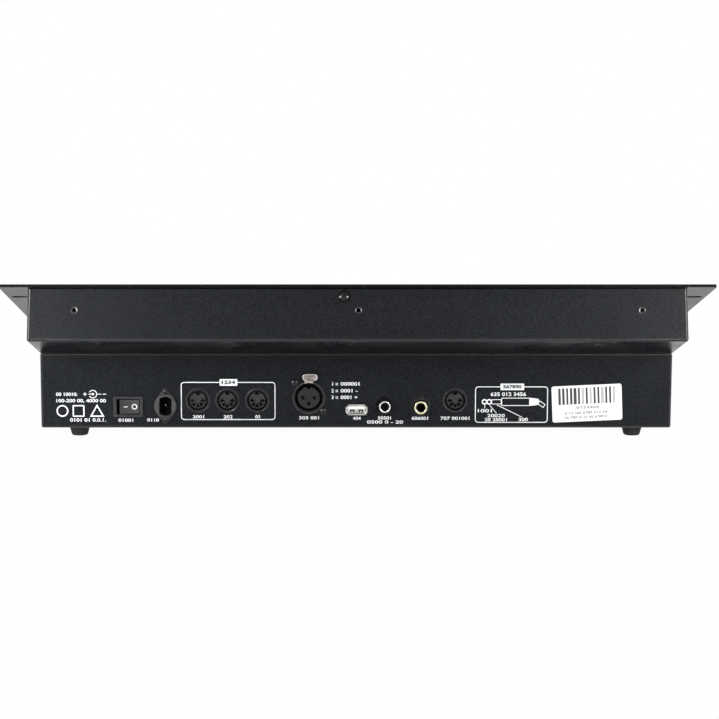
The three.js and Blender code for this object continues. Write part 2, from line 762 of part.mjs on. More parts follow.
// The rocker around its pivot, tilted so that its OFF end is pressed in
const rockerPivotY = bezelProud - 2.2;
const rockerTilt = THREE.MathUtils.degToRad(10);
function rockerKey() {
  const halfLength = 7.2;
  const halfWidth = 5.1;
  const endTop = 3;
  const hollow = 0.6; // where the two ends' slopes would meet
  const waist = 6.9;
  const depth = 5.4;
  const side = new THREE.Shape();
  side.moveTo(-halfLength, endTop);
  side.lineTo(-waist, -1);
  side.quadraticCurveTo(-5, -5, 0, -depth);
  side.quadraticCurveTo(5, -5, waist, -1);
  side.lineTo(halfLength, endTop);
  side.quadraticCurveTo(0, hollow, -halfLength, endTop);
  return plateZ(side, [-halfWidth, halfWidth], 0, 0, 5);
}

// Boards and cable inside the lower case

const connectorBoardY = [-socketDepth - gap - boardThickness, -socketDepth - gap];
const connectorBoard = () => slab([-88, 126], connectorBoardY, [4, 44]);

// Flat cable from the connector board up to the control board, with a header at each end
function ribbonCable() {
  const headerDepth = 5;
  const headerHalfWidth = 19;
  const headerHalfHeight = 4;
  const bandHalfWidth = 16;
  const bandThickness = 1.2;
  const steps = 12;
  const inHeader = headerDepth - 0.5; // the band ends just inside its headers
  const lowY = rearFaceY + connectorBoardY[0] - gap;
  const lowZ = footHeight + 32;
  const topD = 86;
  const topN = boardBottom - gap;
  const topY = deckRearY - topD * cosSlope - topN * sinSlope;
  const topZ = deckRearZ - topD * sinSlope + topN * cosSlope;
  const route = new THREE.CubicBezierCurve(
    new THREE.Vector2(lowY - inHeader, lowZ),
    new THREE.Vector2(lowY - headerDepth - 22, lowZ - 14),
    new THREE.Vector2(topY - 2.35, topZ - 34),
    new THREE.Vector2(topY + inHeader * sinSlope, topZ - inHeader * cosSlope),
  );
  const edge = (side) =>
    Array.from({ length: steps + 1 }, (_, i) => {
      const point = route.getPoint(i / steps);
      const direction = route.getTangent(i / steps);
      const offset = new THREE.Vector2(-direction.y, direction.x);
      return point.addScaledVector(offset, (side * bandThickness) / 2);
    });
  const bandOutline = new THREE.Shape([...edge(-1), ...edge(1).reverse()]);
  const band = plateX(bandOutline, [-bandHalfWidth, bandHalfWidth]);
  const headerX = [-headerHalfWidth, headerHalfWidth];
  const headerHeight = [-headerHalfHeight, headerHalfHeight];
  const lowHeader = slab(headerX, [-headerDepth, 0], headerHeight).translate([0, lowY, lowZ]);
  const tilt = new THREE.Matrix4().makeRotationX(slope).setPosition(0, topY, topZ);
  const topHeader = slab(headerX, headerHeight, [-headerDepth, 0]).transform(tilt.elements);
  return join(band, lowHeader, topHeader);
}

// Assembly

const desk = new THREE.Group();
const deck = new THREE.Group(); // the panel's own frame: origin on its rear edge, y up the slope
deck.position.set(0, deckRearY, deckRearZ);
deck.rotation.x = slope;
const rear = new THREE.Group(); // the rear face's frame: x across, y out, z up from the case bottom
rear.position.set(0, rearFaceY, footHeight);
desk.add(deck, rear);

const finishes = {
  paint: { color: 0x1f2124, roughness: 0.55, metalness: 0.2 },
  blackPlastic: { color: 0x17181a, roughness: 0.5, metalness: 0 },
  greyPlastic: { color: 0x4a4d52, roughness: 0.5, metalness: 0 },
  rubber: { color: 0x141414, roughness: 0.85, metalness: 0 },
  nickel: { color: 0xc9c6bf, roughness: 0.3, metalness: 1 },
  brass: { color: 0xcbb98a, roughness: 0.3, metalness: 1 },
  board: { color: 0x1f5b34, roughness: 0.6, metalness: 0 },
  glass: { color: 0x2c3440, roughness: 0.1, metalness: 0 },
  cable: { color: 0x9a9a9a, roughness: 0.7, metalness: 0 },
  redPlastic: { color: 0xa32020, roughness: 0.5, metalness: 0 },
};

function add(parent, name, manifold, finish, [x, y, z] = [0, 0, 0]) {
  const mesh = new THREE.Mesh(geometryOf(manifold), new THREE.MeshStandardMaterial(finishes[finish]));
  mesh.name = name;
  mesh.position.set(x, y, z);
  parent.add(mesh);
  return mesh;
}

add(deck, "top_panel", topPanel(), "paint");
add(deck, "upper_case", upperCase(), "paint");
add(desk, "lower_case", lowerCase(), "paint");
const feet = [
  ["foot_rear_left", -footSide, rearFaceY - footInset],
  ["foot_rear_right", footSide, rearFaceY - footInset],
  ["foot_front_left", -footSide, lowerFrontY + footInset],
  ["foot_front_right", footSide, lowerFrontY + footInset],
];
for (const [name, x, y] of feet) add(desk, name, foot(), "rubber", [x, y, 0]);

add(deck, "control_board", controlBoard(), "board");
add(deck, "fader_board", faderBoard(), "board");
add(deck, "display_module", displayModule(), "blackPlastic", [displayX, -displayD, 0]);
add(deck, "display_window", displayWindow(), "glass", [displayX, -displayD, 0]);
for (const { name, x } of faders) add(deck, name, faderCap(), "blackPlastic", [x, -faderRestD, 0]);
for (const { name, x, d, width } of keys) {
  add(deck, name, key(width), name === "blackout_button" ? "redPlastic" : "greyPlastic", [x, -d, 0]);
}
const pivot = [stickX, -stickD, pivotDepth];
add(deck, "joystick_housing", joystickHousing(), "blackPlastic", pivot);
add(deck, "joystick_gimbal", joystickGimbal(), "nickel", pivot);
add(deck, "joystick_stick", joystickStick(), "blackPlastic", pivot);

for (const { name, x, z } of dinSockets) add(rear, name, dinSocket(), "blackPlastic", [x, 0, z]);
const onRear = ({ x, z }, y = 0) => [x, y, z];
add(rear, "xlr_shell", xlrShell(), "blackPlastic", onRear(xlr));
add(rear, "xlr_insert", xlrInsert(), "blackPlastic", onRear(xlr));
add(rear, "xlr_latch", xlrLatch(), "nickel", onRear(xlr));
add(rear, "usb_port", usbPort(), "nickel", onRear(usb));
add(rear, "rca_jack", rcaJack(), "nickel", onRear(rca));
add(rear, "remote_jack", remoteJack(), "brass", onRear(remote));
add(rear, "dc_jack", dcJack(), "greyPlastic", onRear(dcInlet));
add(rear, "rocker_frame", rockerFrame(), "blackPlastic", onRear(rocker));
add(rear, "power_rocker", rockerKey(), "blackPlastic", onRear(rocker, rockerPivotY)).rotation.z = rockerTilt;
add(rear, "connector_board", connectorBoard(), "board");
add(desk, "ribbon_cable", ribbonCable(), "cable");

export default desk;
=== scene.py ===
"""Looks of a sloping DMX lighting desk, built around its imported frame.

Shapes are drawn in millimetres in one of two local frames and put in place from there.
Rear frame, as seen from behind: u to the right, v up from the case bottom, w out of the rear face.
Deck frame, as seen by the user: x to the right, y up the slope from the panel's rear edge, z out of it.
"""

import json
import random
from math import asin, atan2, copysign, cos, degrees, hypot, pi, radians, sin, tan, tau

import bmesh
import bpy
from mathutils import Matrix, Vector


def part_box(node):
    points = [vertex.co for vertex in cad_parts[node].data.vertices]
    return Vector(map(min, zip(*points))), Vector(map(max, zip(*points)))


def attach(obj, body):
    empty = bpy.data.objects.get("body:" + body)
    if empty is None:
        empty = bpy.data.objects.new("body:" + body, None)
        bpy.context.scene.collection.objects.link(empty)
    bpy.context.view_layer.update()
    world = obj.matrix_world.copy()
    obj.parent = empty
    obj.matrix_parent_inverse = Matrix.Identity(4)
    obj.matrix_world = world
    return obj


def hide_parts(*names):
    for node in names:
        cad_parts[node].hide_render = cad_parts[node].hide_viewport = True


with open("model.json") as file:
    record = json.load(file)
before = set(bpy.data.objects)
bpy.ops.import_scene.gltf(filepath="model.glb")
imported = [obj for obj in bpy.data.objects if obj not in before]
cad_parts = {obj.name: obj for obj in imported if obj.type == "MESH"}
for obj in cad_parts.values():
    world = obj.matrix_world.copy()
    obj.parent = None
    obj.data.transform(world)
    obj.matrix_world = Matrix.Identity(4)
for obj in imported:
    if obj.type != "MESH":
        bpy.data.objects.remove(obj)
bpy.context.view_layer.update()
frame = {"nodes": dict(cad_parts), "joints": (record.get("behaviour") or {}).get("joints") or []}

MM = 0.001
scene = bpy.context.scene

# Driving dimensions, in millimetres

PANEL_THICKNESS = 2.0
SHEET = 1.2
FOLD = 1.6
PLAY = 0.3
LIP = 10.0
INK = 0.06
CAPITAL_SHARE = 0.73
PRINT_RISE = 0.6
PRINT_SHARE = 0.9975

CAMERA_PLACE = (21.8, 1355.1, 241.9)
CAMERA_PITCH = 7.57
PHOTO_SIZE = 719
FOCAL_PIXELS = 1872.9
PRINCIPAL_POINT = (325.19, 341.76)
SENSOR = 36.0

# The two local frames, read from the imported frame


def at(x, y, z=0.0, turn=0.0):
    """A place in a local frame, turned about its own Z by an angle in degrees."""
    return Matrix.Translation((x, y, z)) @ Matrix.Rotation(radians(turn), 4, "Z")


first_slide = next(j for j in frame["joints"] if j["name"] == "channel_fader_slide_1")
up_slope = Vector(first_slide["axis"]).normalized()
slope = asin(up_slope.z)
panel_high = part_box("top_panel")[1]
case_low, case_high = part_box("lower_case")
deck_rear_z = panel_high.z - PANEL_THICKNESS * MM * cos(slope)
TO_METRES = Matrix.Scale(MM, 4)
DECK = at(0, panel_high.y, deck_rear_z) @ Matrix.Rotation(slope, 4, "X") @ TO_METRES
FACING_BACK = Matrix(((-1, 0, 0, 0), (0, 0, 1, 0), (0, 1, 0, 0), (0, 0, 0, 1)))
REAR = at(0, case_high.y, case_low.z) @ FACING_BACK @ TO_METRES
PRINTS = REAR @ at(0, PRINT_RISE, 0) @ Matrix.Diagonal((PRINT_SHARE, PRINT_SHARE, 1, 1))
ON_PANEL = DECK @ at(0, 0, PANEL_THICKNESS)
UPSIDE_DOWN = Matrix.Rotation(pi, 4, "X")
CASE_HALF = case_high.x / MM
LOWER_REAR = (case_high.z - case_low.z) / MM + PLAY
LOWER_LENGTH = (case_high.y - case_low.y) / MM


def local_box(node, local):
    """Lowest and highest corner of a node in a local frame, in millimetres."""
    inverse = local.inverted()
    points = [inverse @ v.co for v in frame["nodes"][node].data.vertices]
    return [Vector(pick(p[i] for p in points) for i in range(3)) for pick in (min, max)]


def centre_of(node, local):
    low, high = local_box(node, local)
    return (low + high) / 2


def over(node, local, z=0.0):
    """Where a node's axis meets the face of its local frame, or lies at a height over it."""
    centre = centre_of(node, local)
    return at(centre.x, centre.y, z)


def on_rear(node):
    """A socket's own frame, with its z out of the rear face."""
    return REAR @ over(node, REAR)


def nodes_named(word):
    return [node for node in frame["nodes"] if word in node]


# Outlines and solid shapes


def arc(radius, start, end, steps, centre=(0.0, 0.0)):
    """Points of an arc, with its angles in degrees."""
    angles = [radians(start + (end - start) * i / steps) for i in range(steps + 1)]
    return [(centre[0] + radius * cos(a), centre[1] + radius * sin(a)) for a in angles]


def circle(radius, sides=64, start=0):
    """Points round a circle, or the corners of a triangle or hexagon in it."""
    return arc(radius, start, start + 360, sides)[:-1]


def dome(radius, low, rise):
    """Points up a shallow dome, short of its pole."""
    return [(radius * cos(a), low + rise * sin(a)) for a in map(radians, range(0, 90, 15))]


def rectangle(low, high):
    return [(low[0], low[1]), (high[0], low[1]), (high[0], high[1]), (low[0], high[1])]


def rounded(width, height, radius, steps=6):
    w = width / 2 - radius
    h = height / 2 - radius
    corners = [((w, -h), -90), ((w, h), 0), ((-w, h), 90), ((-w, -h), 180)]
    return [p for centre, start in corners for p in arc(radius, start, start + 90, steps, centre)]


def octagon(width, height, corner):
    w = width / 2
    h = height / 2
    right = [(w - corner, -h), (w, -h + corner), (w, h - corner), (w - corner, h)]
    return [*right, *[(-x, -y) for x, y in right]]


def lifted(outline, z):
    return [(x, y, z) for x, y in outline]


def loft(loops, closed=False, capped=True):
    """A skin through loops of as many points, or single poles, with capped ends or closed to a ring."""
    shape = bmesh.new()
    rows = [[shape.verts.new(p) for p in loop] for loop in loops]
    count = max(len(row) for row in rows)
    pairs = list(zip(rows, rows[1:]))
    if closed:
        pairs.append((rows[-1], rows[0]))
    for low, high in pairs:
        for i in range(count):
            j = (i + 1) % count
            corners = (low[i % len(low)], low[j % len(low)], high[j % len(high)], high[i % len(high)])
            face = list(dict.fromkeys(corners))
            if len(face) > 2:
                shape.faces.new(face)
    if capped and not closed:
        shape.faces.new(list(reversed(rows[0])))
        shape.faces.new(rows[-1])
    bmesh.ops.recalc_face_normals(shape, faces=shape.faces)
    return shape


def prism(outline, low, high):
    return loft([lifted(outline, low), lifted(outline, high)])


def ring(outer, inner, low, high):
    """A frame between two outlines that have the same number of points."""
    loops = [lifted(outer, low), lifted(outer, high), lifted(inner, high), lifted(inner, low)]
    return loft(loops, closed=True)


def block(low, high):
    return prism(rectangle(low, high), low[2], high[2])


def lathe(profile, sides=64, closed=False):
    """A piece turned about Z from (radius, height) points; a radius of 0 gives a pole."""
    angles = [tau * i / sides for i in range(sides)]
    loops = [[(r * cos(a), r * sin(a), z) for a in (angles if r else angles[:1])] for r, z in profile]
    return loft(loops, closed, capped=False)


def tube(profile, sides=72):
    return lathe(profile, sides, closed=True)


def sleeve(inner, outer, low, high, sides):
    return tube([(inner, low), (outer, low), (outer, high), (inner, high)], sides)


def rod(radius, start, end, sides=48):
    """A round bar between two points."""
    start, along = Vector(start), Vector(end) - Vector(start)
    shape = lathe([(0, 0), (radius, 0), (radius, along.length), (0, along.length)], sides)
    return moved(shape, Matrix.Translation(start) @ along.to_track_quat("Z", "Y").to_matrix().to_4x4())


def pin(radius, low, high, sides=48, x=0, y=0):
    return rod(radius, (x, y, low), (x, y, high), sides)


def moved(shape, place):
    shape.transform(place)
    return shape


def mesh_of(shape, name):
    """A mesh from a shape, which is used up."""
    mesh = bpy.data.meshes.new(name)
    shape.to_mesh(mesh)
    shape.free()
    return mesh


def linked(name, data):
    thing = bpy.data.objects.new(name, data)
    scene.collection.objects.link(thing)
    return thing


def configured(thing, **values):
    for name, value in values.items():
        setattr(thing, name, value)
    return thing


def modify(thing, name, kind, **values):
    configured(thing.modifiers.new(name, kind), **values)


def gather(*shapes):
    """Several shapes as the loose parts of one."""
    whole = bmesh.new()
    for shape in shapes:
        mesh = mesh_of(shape, "part")
        whole.from_mesh(mesh)
        bpy.data.meshes.remove(mesh)
    return whole


def evaluated(holder):
    """A shape from an object with its modifiers done; the object is removed."""
    mesh = bpy.data.meshes.new_from_object(holder.evaluated_get(bpy.context.evaluated_depsgraph_get()))
    shape = bmesh.new()
    shape.from_mesh(mesh)
    bpy.data.meshes.remove(mesh)
    bpy.data.objects.remove(holder)
    return shape


def carve(solid, *tools, operation="DIFFERENCE"):
    """The solid with each tool cut away from it, or joined to it, or kept in common."""
    holder, *others = [linked("carved", mesh_of(shape, "carved")) for shape in (solid, *tools)]
    for other in others:
        modify(holder, "carve", "BOOLEAN", operation=operation, solver="EXACT", object=other)
    shape = evaluated(holder)
    for other in others:
        bpy.data.objects.remove(other)
    return shape


def rounded_edges(shape, edges, width, segments):
    bmesh.ops.bevel(shape, geom=edges, offset=width, offset_type="OFFSET", segments=segments, profile=0.5,
                    affect="EDGES", clamp_overlap=True)
    return shape


def soften(shape, width, above=30.0):
    """Rounds every edge whose faces meet at more than an angle in degrees."""
    bmesh.ops.remove_doubles(shape, verts=shape.verts, dist=0.001)
    bmesh.ops.dissolve_limit(shape, angle_limit=radians(1), verts=shape.verts, edges=shape.edges)
    limit = radians(above)
    edges = [e for e in shape.edges if e.is_manifold and e.calc_face_angle(0.0) > limit]
    return rounded_edges(shape, edges, width, 2)


# Printed shapes


def lettering(words, height, place=Matrix(), bold=0.04, align="CENTER"):
    """Raised characters on their place; height is that of a capital, bold is a share of it."""
    curve = bpy.data.curves.new("lettering", "FONT")
    configured(curve, body=words, align_x=align, align_y="CENTER", size=height / CAPITAL_SHARE,
               extrude=INK / 2, offset=bold * height, resolution_u=3)
    shape = evaluated(linked("lettering", curve))
    bpy.data.curves.remove(curve)
    return moved(shape, place @ at(0, 0, INK / 2))


def line(start, end, width=0.5):
    (x0, y0), (x1, y1) = start, end
    stroke = block((0, -width / 2, 0), (hypot(x1 - x0, y1 - y0), width / 2, INK))
    return moved(stroke, at(x0, y0, 0, degrees(atan2(y1 - y0, x1 - x0))))


def printed_frame(low, high, radius, width):
    size = (high[0] - low[0], high[1] - low[1])
    outer = rounded(*size, radius)
    inner = rounded(size[0] - 2 * width, size[1] - 2 * width, radius - width)
    return moved(ring(outer, inner, 0, INK), at((low[0] + high[0]) / 2, (low[1] + high[1]) / 2))


def printed_tab(width, height, radius, x, y):
    return moved(prism(rounded(width, height, radius), 0, INK), at(x, y))


def printed_ring(radius, width, x, y, sides=32):
    return moved(ring(circle(radius, sides), circle(radius - width, sides), 0, INK), at(x, y))


# Finishes

NOISE_RANGE = (0.3, 0.7)
TINT_GRAINS = 24
GLOSS_GRAINS = 60
SPECKLE_GRAINS = 2.5


def feed(tree, node, inputs):
    """Sets the inputs of a shader node, by a link where a value is the output of another node."""
    for name, value in inputs.items():
        if isinstance(value, bpy.types.NodeSocket):
            tree.links.new(value, node.inputs[name])
        else:
            node.inputs[name].default_value = value


def added(tree, kind, inputs, **settings):
    node = configured(tree.nodes.new(f"ShaderNode{kind}"), **settings)
    feed(tree, node, inputs)
    return node


def own_place(tree):
    """Places in the object's own frame, as they reach a texture."""
    return added(tree, "TexCoord", {}).outputs["Object"]


def remapped(tree, value, source, target, **settings):
    ends = {"From Min": source[0], "From Max": source[1], "To Min": target[0], "To Max": target[1]}
    return added(tree, "MapRange", {"Value": value, **ends}, **settings).outputs["Result"]


def surface(name, colour, roughness, metallic=0.0, specular=0.5, grain=0.5, relief=0.03, mottle=0.1,
            unevenness=0.08, speckle=0.0, coat=0.0, transmission=0.0, glow=0.0):
    """A finish with a fine grain, in millimetres, and slow changes in its colour and gloss."""
    material = bpy.data.materials.new(name)
    material.use_nodes = True
    tree = material.node_tree
    place = own_place(tree)

    def noise(grains, detail):
        inputs = {"Vector": place, "Scale": 1 / (grain * grains * MM), "Detail": detail}
        return added(tree, "TexNoise", inputs).outputs["Fac"]

    dark = (*[c * (1 - mottle) for c in colour], 1)
    bright = (*[min(1, c * (1 + mottle)) for c in colour], 1)
    inputs = {"A": dark, "B": bright, "Factor": noise(TINT_GRAINS, 4)}
    tint = added(tree, "Mix", inputs, data_type="RGBA").outputs["Result"]
    specks = remapped(tree, noise(SPECKLE_GRAINS, 2), NOISE_RANGE, (1 - speckle, 1 + speckle))
    speckled = added(tree, "VectorMath", {0: tint, "Scale": specks}, operation="SCALE").outputs["Vector"]
    gloss = (max(0.02, roughness - unevenness), min(1, roughness + unevenness))
    bump = added(tree, "Bump", {"Strength": 1.0, "Distance": grain * relief * MM, "Height": noise(1, 2)})
    feed(tree, tree.nodes["Principled BSDF"], {
        "Base Color": speckled,
        "Roughness": remapped(tree, noise(GLOSS_GRAINS, 3), NOISE_RANGE, gloss),
        "Normal": bump.outputs["Normal"],
        "Metallic": metallic,
        "Specular IOR Level": specular,
        "Coat Weight": coat,
        "Coat Roughness": 0.1,
        "Transmission Weight": transmission,
        "Emission Color": (*colour, 1),
        "Emission Strength": glow,
    })
    return material


finishes = {}


def add_finish(name, colour, roughness, slot, **values):
    """Adds a finish, and keeps with it the slot of the record that it stands for, if any; nothing reads that
    slot.
    """
    finishes[name] = (surface(name, colour, roughness, **values), slot)


def paint(name, colour, roughness, **values):
    add_finish(name, colour, roughness, "paint", **values)


def plastic(name, colour, roughness, slot="black_plastic", grain=0.25, **values):
    add_finish(name, colour, roughness, slot, grain=grain, **values)


def metal(name, colour, roughness, slot="nickel", metallic=1.0, relief=0.02, **values):
    add_finish(name, colour, roughness, slot, metallic=metallic, grain=0.3, relief=relief, **values)


def ink(name, colour, roughness, **values):
    add_finish(name, colour, roughness, None, relief=0.01, **values)


def lens(name, colour):
    add_finish(name, colour, 0.18, None, relief=0.005, coat=0.5, transmission=0.25)


def glowing(name, colour, roughness, glow):
    add_finish(name, colour, roughness, None, grain=0.4, relief=0.005, glow=glow)


paint("paint", (0.0082, 0.0094, 0.0112), 0.36, specular=0.085, relief=0.05, speckle=0.6)
paint("fold_paint", (0.0074, 0.0085, 0.0102), 0.31, specular=0.42, relief=0.015, speckle=0.25)
paint("panel_paint", (0.0085, 0.009, 0.0102), 0.3, specular=0.2, relief=0.04, unevenness=0.03, speckle=0.5)
plastic("black_plastic", (0.011, 0.011, 0.012), 0.42, specular=0.4)
# Near black, for black parts and for painted shade in holes and gaps
plastic("void", (0.004, 0.004, 0.004), 0.8, specular=0.1, grain=0.5)
plastic("dull_black", (0.007, 0.007, 0.0075), 0.5, specular=0.2)
plastic("insert", (0.022, 0.023, 0.0245), 0.5, "grey_plastic", specular=0.22, grain=0.2)
plastic("dark_insert", (0.011, 0.011, 0.0115), 0.5, specular=0.22, grain=0.2)
plastic("inlet_plastic", (0.045, 0.043, 0.044), 0.5, specular=0.3)
plastic("grey_plastic", (0.105, 0.107, 0.11), 0.5, "grey_plastic")
plastic("key_plastic", (0.15, 0.155, 0.165), 0.45, "grey_plastic", grain=0.2, relief=0.025)
plastic("red_plastic", (0.42, 0.02, 0.018), 0.42, "red_plastic", grain=0.2, relief=0.025)
plastic("white_plastic", (0.82, 0.81, 0.78), 0.4, None, grain=0.2, relief=0.01, mottle=0.03)
plastic("cap_plastic", (0.02, 0.02, 0.021), 0.4, grain=0.2)
plastic("rocker_plastic", (0.017, 0.0175, 0.019), 0.42, specular=0.3, grain=0.22, relief=0.04)
# A lighter copy of the rocker plastic for the key: a painted sheen
plastic("rocker_face", (0.03, 0.031, 0.033), 0.38, specular=0.35, grain=0.22, relief=0.04)
# Bright steel, used only to paint glints on the inserts and on the case screw
metal("worn_steel", (0.25, 0.25, 0.255), 0.35)
metal("screw_steel", (0.17, 0.17, 0.175), 0.2)
metal("nickel", (0.7, 0.69, 0.67), 0.24, relief=0.01, mottle=0.06)
metal("warm_nickel", (0.215, 0.183, 0.17), 0.42, metallic=0.85)
# For the springs of the USB socket, and as the lighter copy of the latch metal that paints the latch's
# highlights
metal("soft_nickel", (0.46, 0.445, 0.43), 0.3, relief=0.015)
metal("gold", (0.64, 0.61, 0.43), 0.25, "brass", relief=0.01, mottle=0.06)
metal("black_steel", (0.03, 0.03, 0.032), 0.22, metallic=0.9)
metal("dark_metal", (0.018, 0.018, 0.019), 0.3, "black_plastic", metallic=0.0, specular=0.4)
metal("rim_metal", (0.12, 0.12, 0.125), 0.35, "black_plastic", metallic=0.6)
ink("white_ink", (0.77, 0.785, 0.79), 0.5, grain=0.15, mottle=0.03)
ink("dark_ink", (0.03, 0.03, 0.032), 0.5, grain=0.15)
ink("middle_ink", (0.13, 0.13, 0.13), 0.6, grain=0.15)
ink("grey_ink", (0.42, 0.42, 0.42), 0.6, grain=0.15)
lens("red_lens", (0.5, 0.02, 0.015))
lens("green_lens", (0.05, 0.4, 0.08))
glowing("screen", (0.02, 0.07, 0.28), 0.25, 0.4)
glowing("screen_digit", (0.75, 0.88, 1.0), 0.4, 0.8)
add_finish("rubber", (0.016, 0.016, 0.016), 0.78, "rubber", specular=0.3, grain=0.4, relief=0.08)
add_finish("paper", (0.83, 0.835, 0.83), 0.6, None, grain=0.2, relief=0.02, mottle=0.015)
add_finish("board", (0.012, 0.09, 0.035), 0.4, "board", grain=0.8, relief=0.02, mottle=0.2)
add_finish("cable", (0.32, 0.32, 0.33), 0.6, "cable", grain=0.8)
add_finish("window", (0.5, 0.55, 0.6), 0.06, "window", grain=2.0, relief=0.0005, unevenness=0.02,
           transmission=0.96)

KEPT_EDGE = 0.25
KEPT_FINISHES = {"fader_board": "dark_metal", "blackout_button": "red_plastic"}
REAR_EDGE_SHARE = 0.1


def polish_folds(thing, local):
    """The second finish goes on the folds and on faces that look down."""
    to_local = local.to_3x3().normalized().transposed()
    for face in thing.data.polygons:
        largest = max(abs(c) for c in to_local @ face.normal)
        if largest < 0.995 or face.normal.z < -0.9:
            face.material_index = 1


def piece(name, shape, place, finish, body="root", replaces=None, sharp=40.0):
    """A named piece from a shape in millimetres, put in place and on its body.

    Its shading is smooth up to an angle in degrees, with flat faces kept flat.
    """
    shape.transform(place)
    bmesh.ops.recalc_face_normals(shape, faces=shape.faces)
    thing = linked(name, mesh_of(shape, name))
    thing.data.polygons.foreach_set("use_smooth", [True] * len(thing.data.polygons))
    thing.data.set_sharp_from_angle(angle=radians(sharp))
    modify(thing, "flat_faces", "WEIGHTED_NORMAL", keep_sharp=True)
    names = finish if isinstance(finish, tuple) else (finish,)
    for finish_name in names:
        thing.data.materials.append(finishes[finish_name][0])
    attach(thing, body)
    if replaces:
        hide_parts(replaces)
    return thing


def printed(name, shapes, place=PRINTS, finish="white_ink"):
    piece(name, gather(*shapes), place, finish, sharp=30)


def keep(node, finish):
    """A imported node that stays, with its own shape, softened edges and a better finish."""
    thing = frame["nodes"][node]
    thing.data.materials.clear()
    thing.data.materials.append(finishes[finish][0])
    modify(thing, "weld", "WELD", merge_threshold=0.002 * MM)
    modify(thing, "flat", "DECIMATE", decimate_type="DISSOLVE", angle_limit=radians(1))
    modify(thing, "edges", "BEVEL", width=KEPT_EDGE * MM, segments=2, limit_method="ANGLE",
           angle_limit=radians(35), harden_normals=False)


def keep_the_rest():
    """Keeps the nodes that nothing replaces, with a finish by their name or their packed material."""
    for node, thing in frame["nodes"].items():
        if thing.hide_render or thing.modifiers:
            continue
        slot = thing.data.materials[0].name.split(".")[0]
        usual = "key_plastic" if "_button" in node else slot
        finish = KEPT_FINISHES.get(node, usual)
        keep(node, finish if finish in finishes else "black_plastic")


def dull_rear_edge(material):
    """The cut rear edge of the panel takes the coat less well than its faces."""
    tree = material.node_tree
    shader = tree.nodes["Principled BSDF"]
    gloss = shader.inputs["Specular IOR Level"].default_value
    edge = DECK.translation.dot(up_slope)
    inputs = {0: own_place(tree), 1: up_slope}
    along = added(tree, "VectorMath", inputs, operation="DOT_PRODUCT").outputs["Value"]
    source = (edge - 0.5 * MM, edge - 0.3 * MM)
    dulled = remapped(tree, along, source, (gloss, REAR_EDGE_SHARE * gloss))
    feed(tree, shader, {"Specular IOR Level": dulled})


# Camera, light and floor

WHITE = (1, 1, 1, 1)
AMBIENT = 0.3
AMBIENT_COLOUR = (0.95, 0.975, 1, 1)
FLOOR_COLOUR = (0.86, 0.86, 0.86, 1)
FLOOR_SIZE = 120.0
FLOOR_WHITE_SHARE = 0.975
SHADOW_START = 0.25
SHADOW_REACH = 0.9


def camera():
    across, down = [x / PHOTO_SIZE - 0.5 for x in PRINCIPAL_POINT]
    focal = FOCAL_PIXELS / PHOTO_SIZE * SENSOR
    data = bpy.data.cameras.new("camera")
    configured(data, sensor_width=SENSOR, lens=focal, shift_x=-across, shift_y=down)
    turn = (radians(90 - CAMERA_PITCH), 0, pi)
    place = Vector(CAMERA_PLACE) * MM
    scene.camera = configured(linked("camera", data), location=place, rotation_euler=turn)


def seen_directly(tree):
    """1 for rays that show the backdrop: straight to the camera, or by gloss or glass."""
    path = added(tree, "LightPath", {}).outputs
    total = path["Is Camera Ray"]
    for name in ("Is Glossy Ray", "Is Transmission Ray"):
        total = added(tree, "Math", {0: total, 1: path[name]}, operation="MAXIMUM").outputs[0]
    return total


def mixed(tree, share, first, second, output):
    """Two shaders mixed, as the only output of a tree."""
    mix = added(tree, "MixShader", {"Fac": share, 1: first.outputs[0], 2: second.outputs[0]})
    added(tree, output, {"Surface": mix.outputs[0]})


def sky():
    """White where it is seen, and a plain soft light on everything else."""
    world = bpy.data.worlds.new("studio")
    scene.world = world
    world.use_nodes = True
    tree = world.node_tree
    tree.nodes.clear()
    shown = added(tree, "Background", {"Color": WHITE, "Strength": 1.0})
    light = added(tree, "Background", {"Color": AMBIENT_COLOUR, "Strength": AMBIENT})
    mixed(tree, seen_directly(tree), light, shown, "OutputWorld")


def floor():
    """A pale floor that shows as white, and still holds the object's shadow."""
    shape = bmesh.new()
    bmesh.ops.create_grid(shape, x_segments=8, y_segments=8, size=FLOOR_SIZE / 2)
    holder = linked("floor", mesh_of(shape, "floor"))
    material = bpy.data.materials.new("floor")
    material.use_nodes = True
    tree = material.node_tree
    tree.nodes.clear()
    matt = added(tree, "BsdfDiffuse", {"Color": FLOOR_COLOUR})
    white = added(tree, "Emission", {"Strength": 1.0})
    distance = added(tree, "VectorMath", {0: own_place(tree)}, operation="LENGTH").outputs["Value"]
    reach = (SHADOW_START, SHADOW_REACH)
    whiteness = remapped(tree, distance, reach, (FLOOR_WHITE_SHARE, 1), interpolation_type="SMOOTHSTEP")
    share = added(tree, "Math", {0: seen_directly(tree), 1: whiteness}, operation="MULTIPLY")
    mixed(tree, share.outputs[0], matt, white, "OutputMaterial")
    holder.data.materials.append(material)


def softbox(name, place, aim, size, power, spread=180):
    light = bpy.data.lights.new(name, "AREA")
    configured(light, shape="RECTANGLE", size=size[0], size_y=size[1], energy=power, spread=radians(spread))
    turn = (Vector(aim) - Vector(place)).to_track_quat("-Z", "Y").to_euler()
    configured(linked(name, light), location=place, rotation_euler=turn)


def lights():
    middle = (0, 0, 0.06)
    softbox("top", (0, -0.3, 2), middle, (2.4, 1.6), 11.7)
    softbox("rear", (0, 2.1, 1.15), middle, (2.4, 0.8), 6.5)
    softbox("rear_left", (0.75, 1.1, 0.45), (0.3, 0.05, 0.06), (0.3, 0.5), 1.15, 36)
    softbox("rear_right", (-0.75, 1.1, 0.45), (-0.3, 0.05, 0.06), (0.3, 0.5), 0.95, 36)
    softbox("front", (0, -1.9, 1.3), middle, (2, 0.9), 10)
    for name, side in (("low_left", 1), ("low_right", -1)):
        softbox(name, (side * 0.5, 1, 0.09), (side * 0.24, 0.05, 0.03), (0.2, 0.08), 0.06, 40)


# Housing

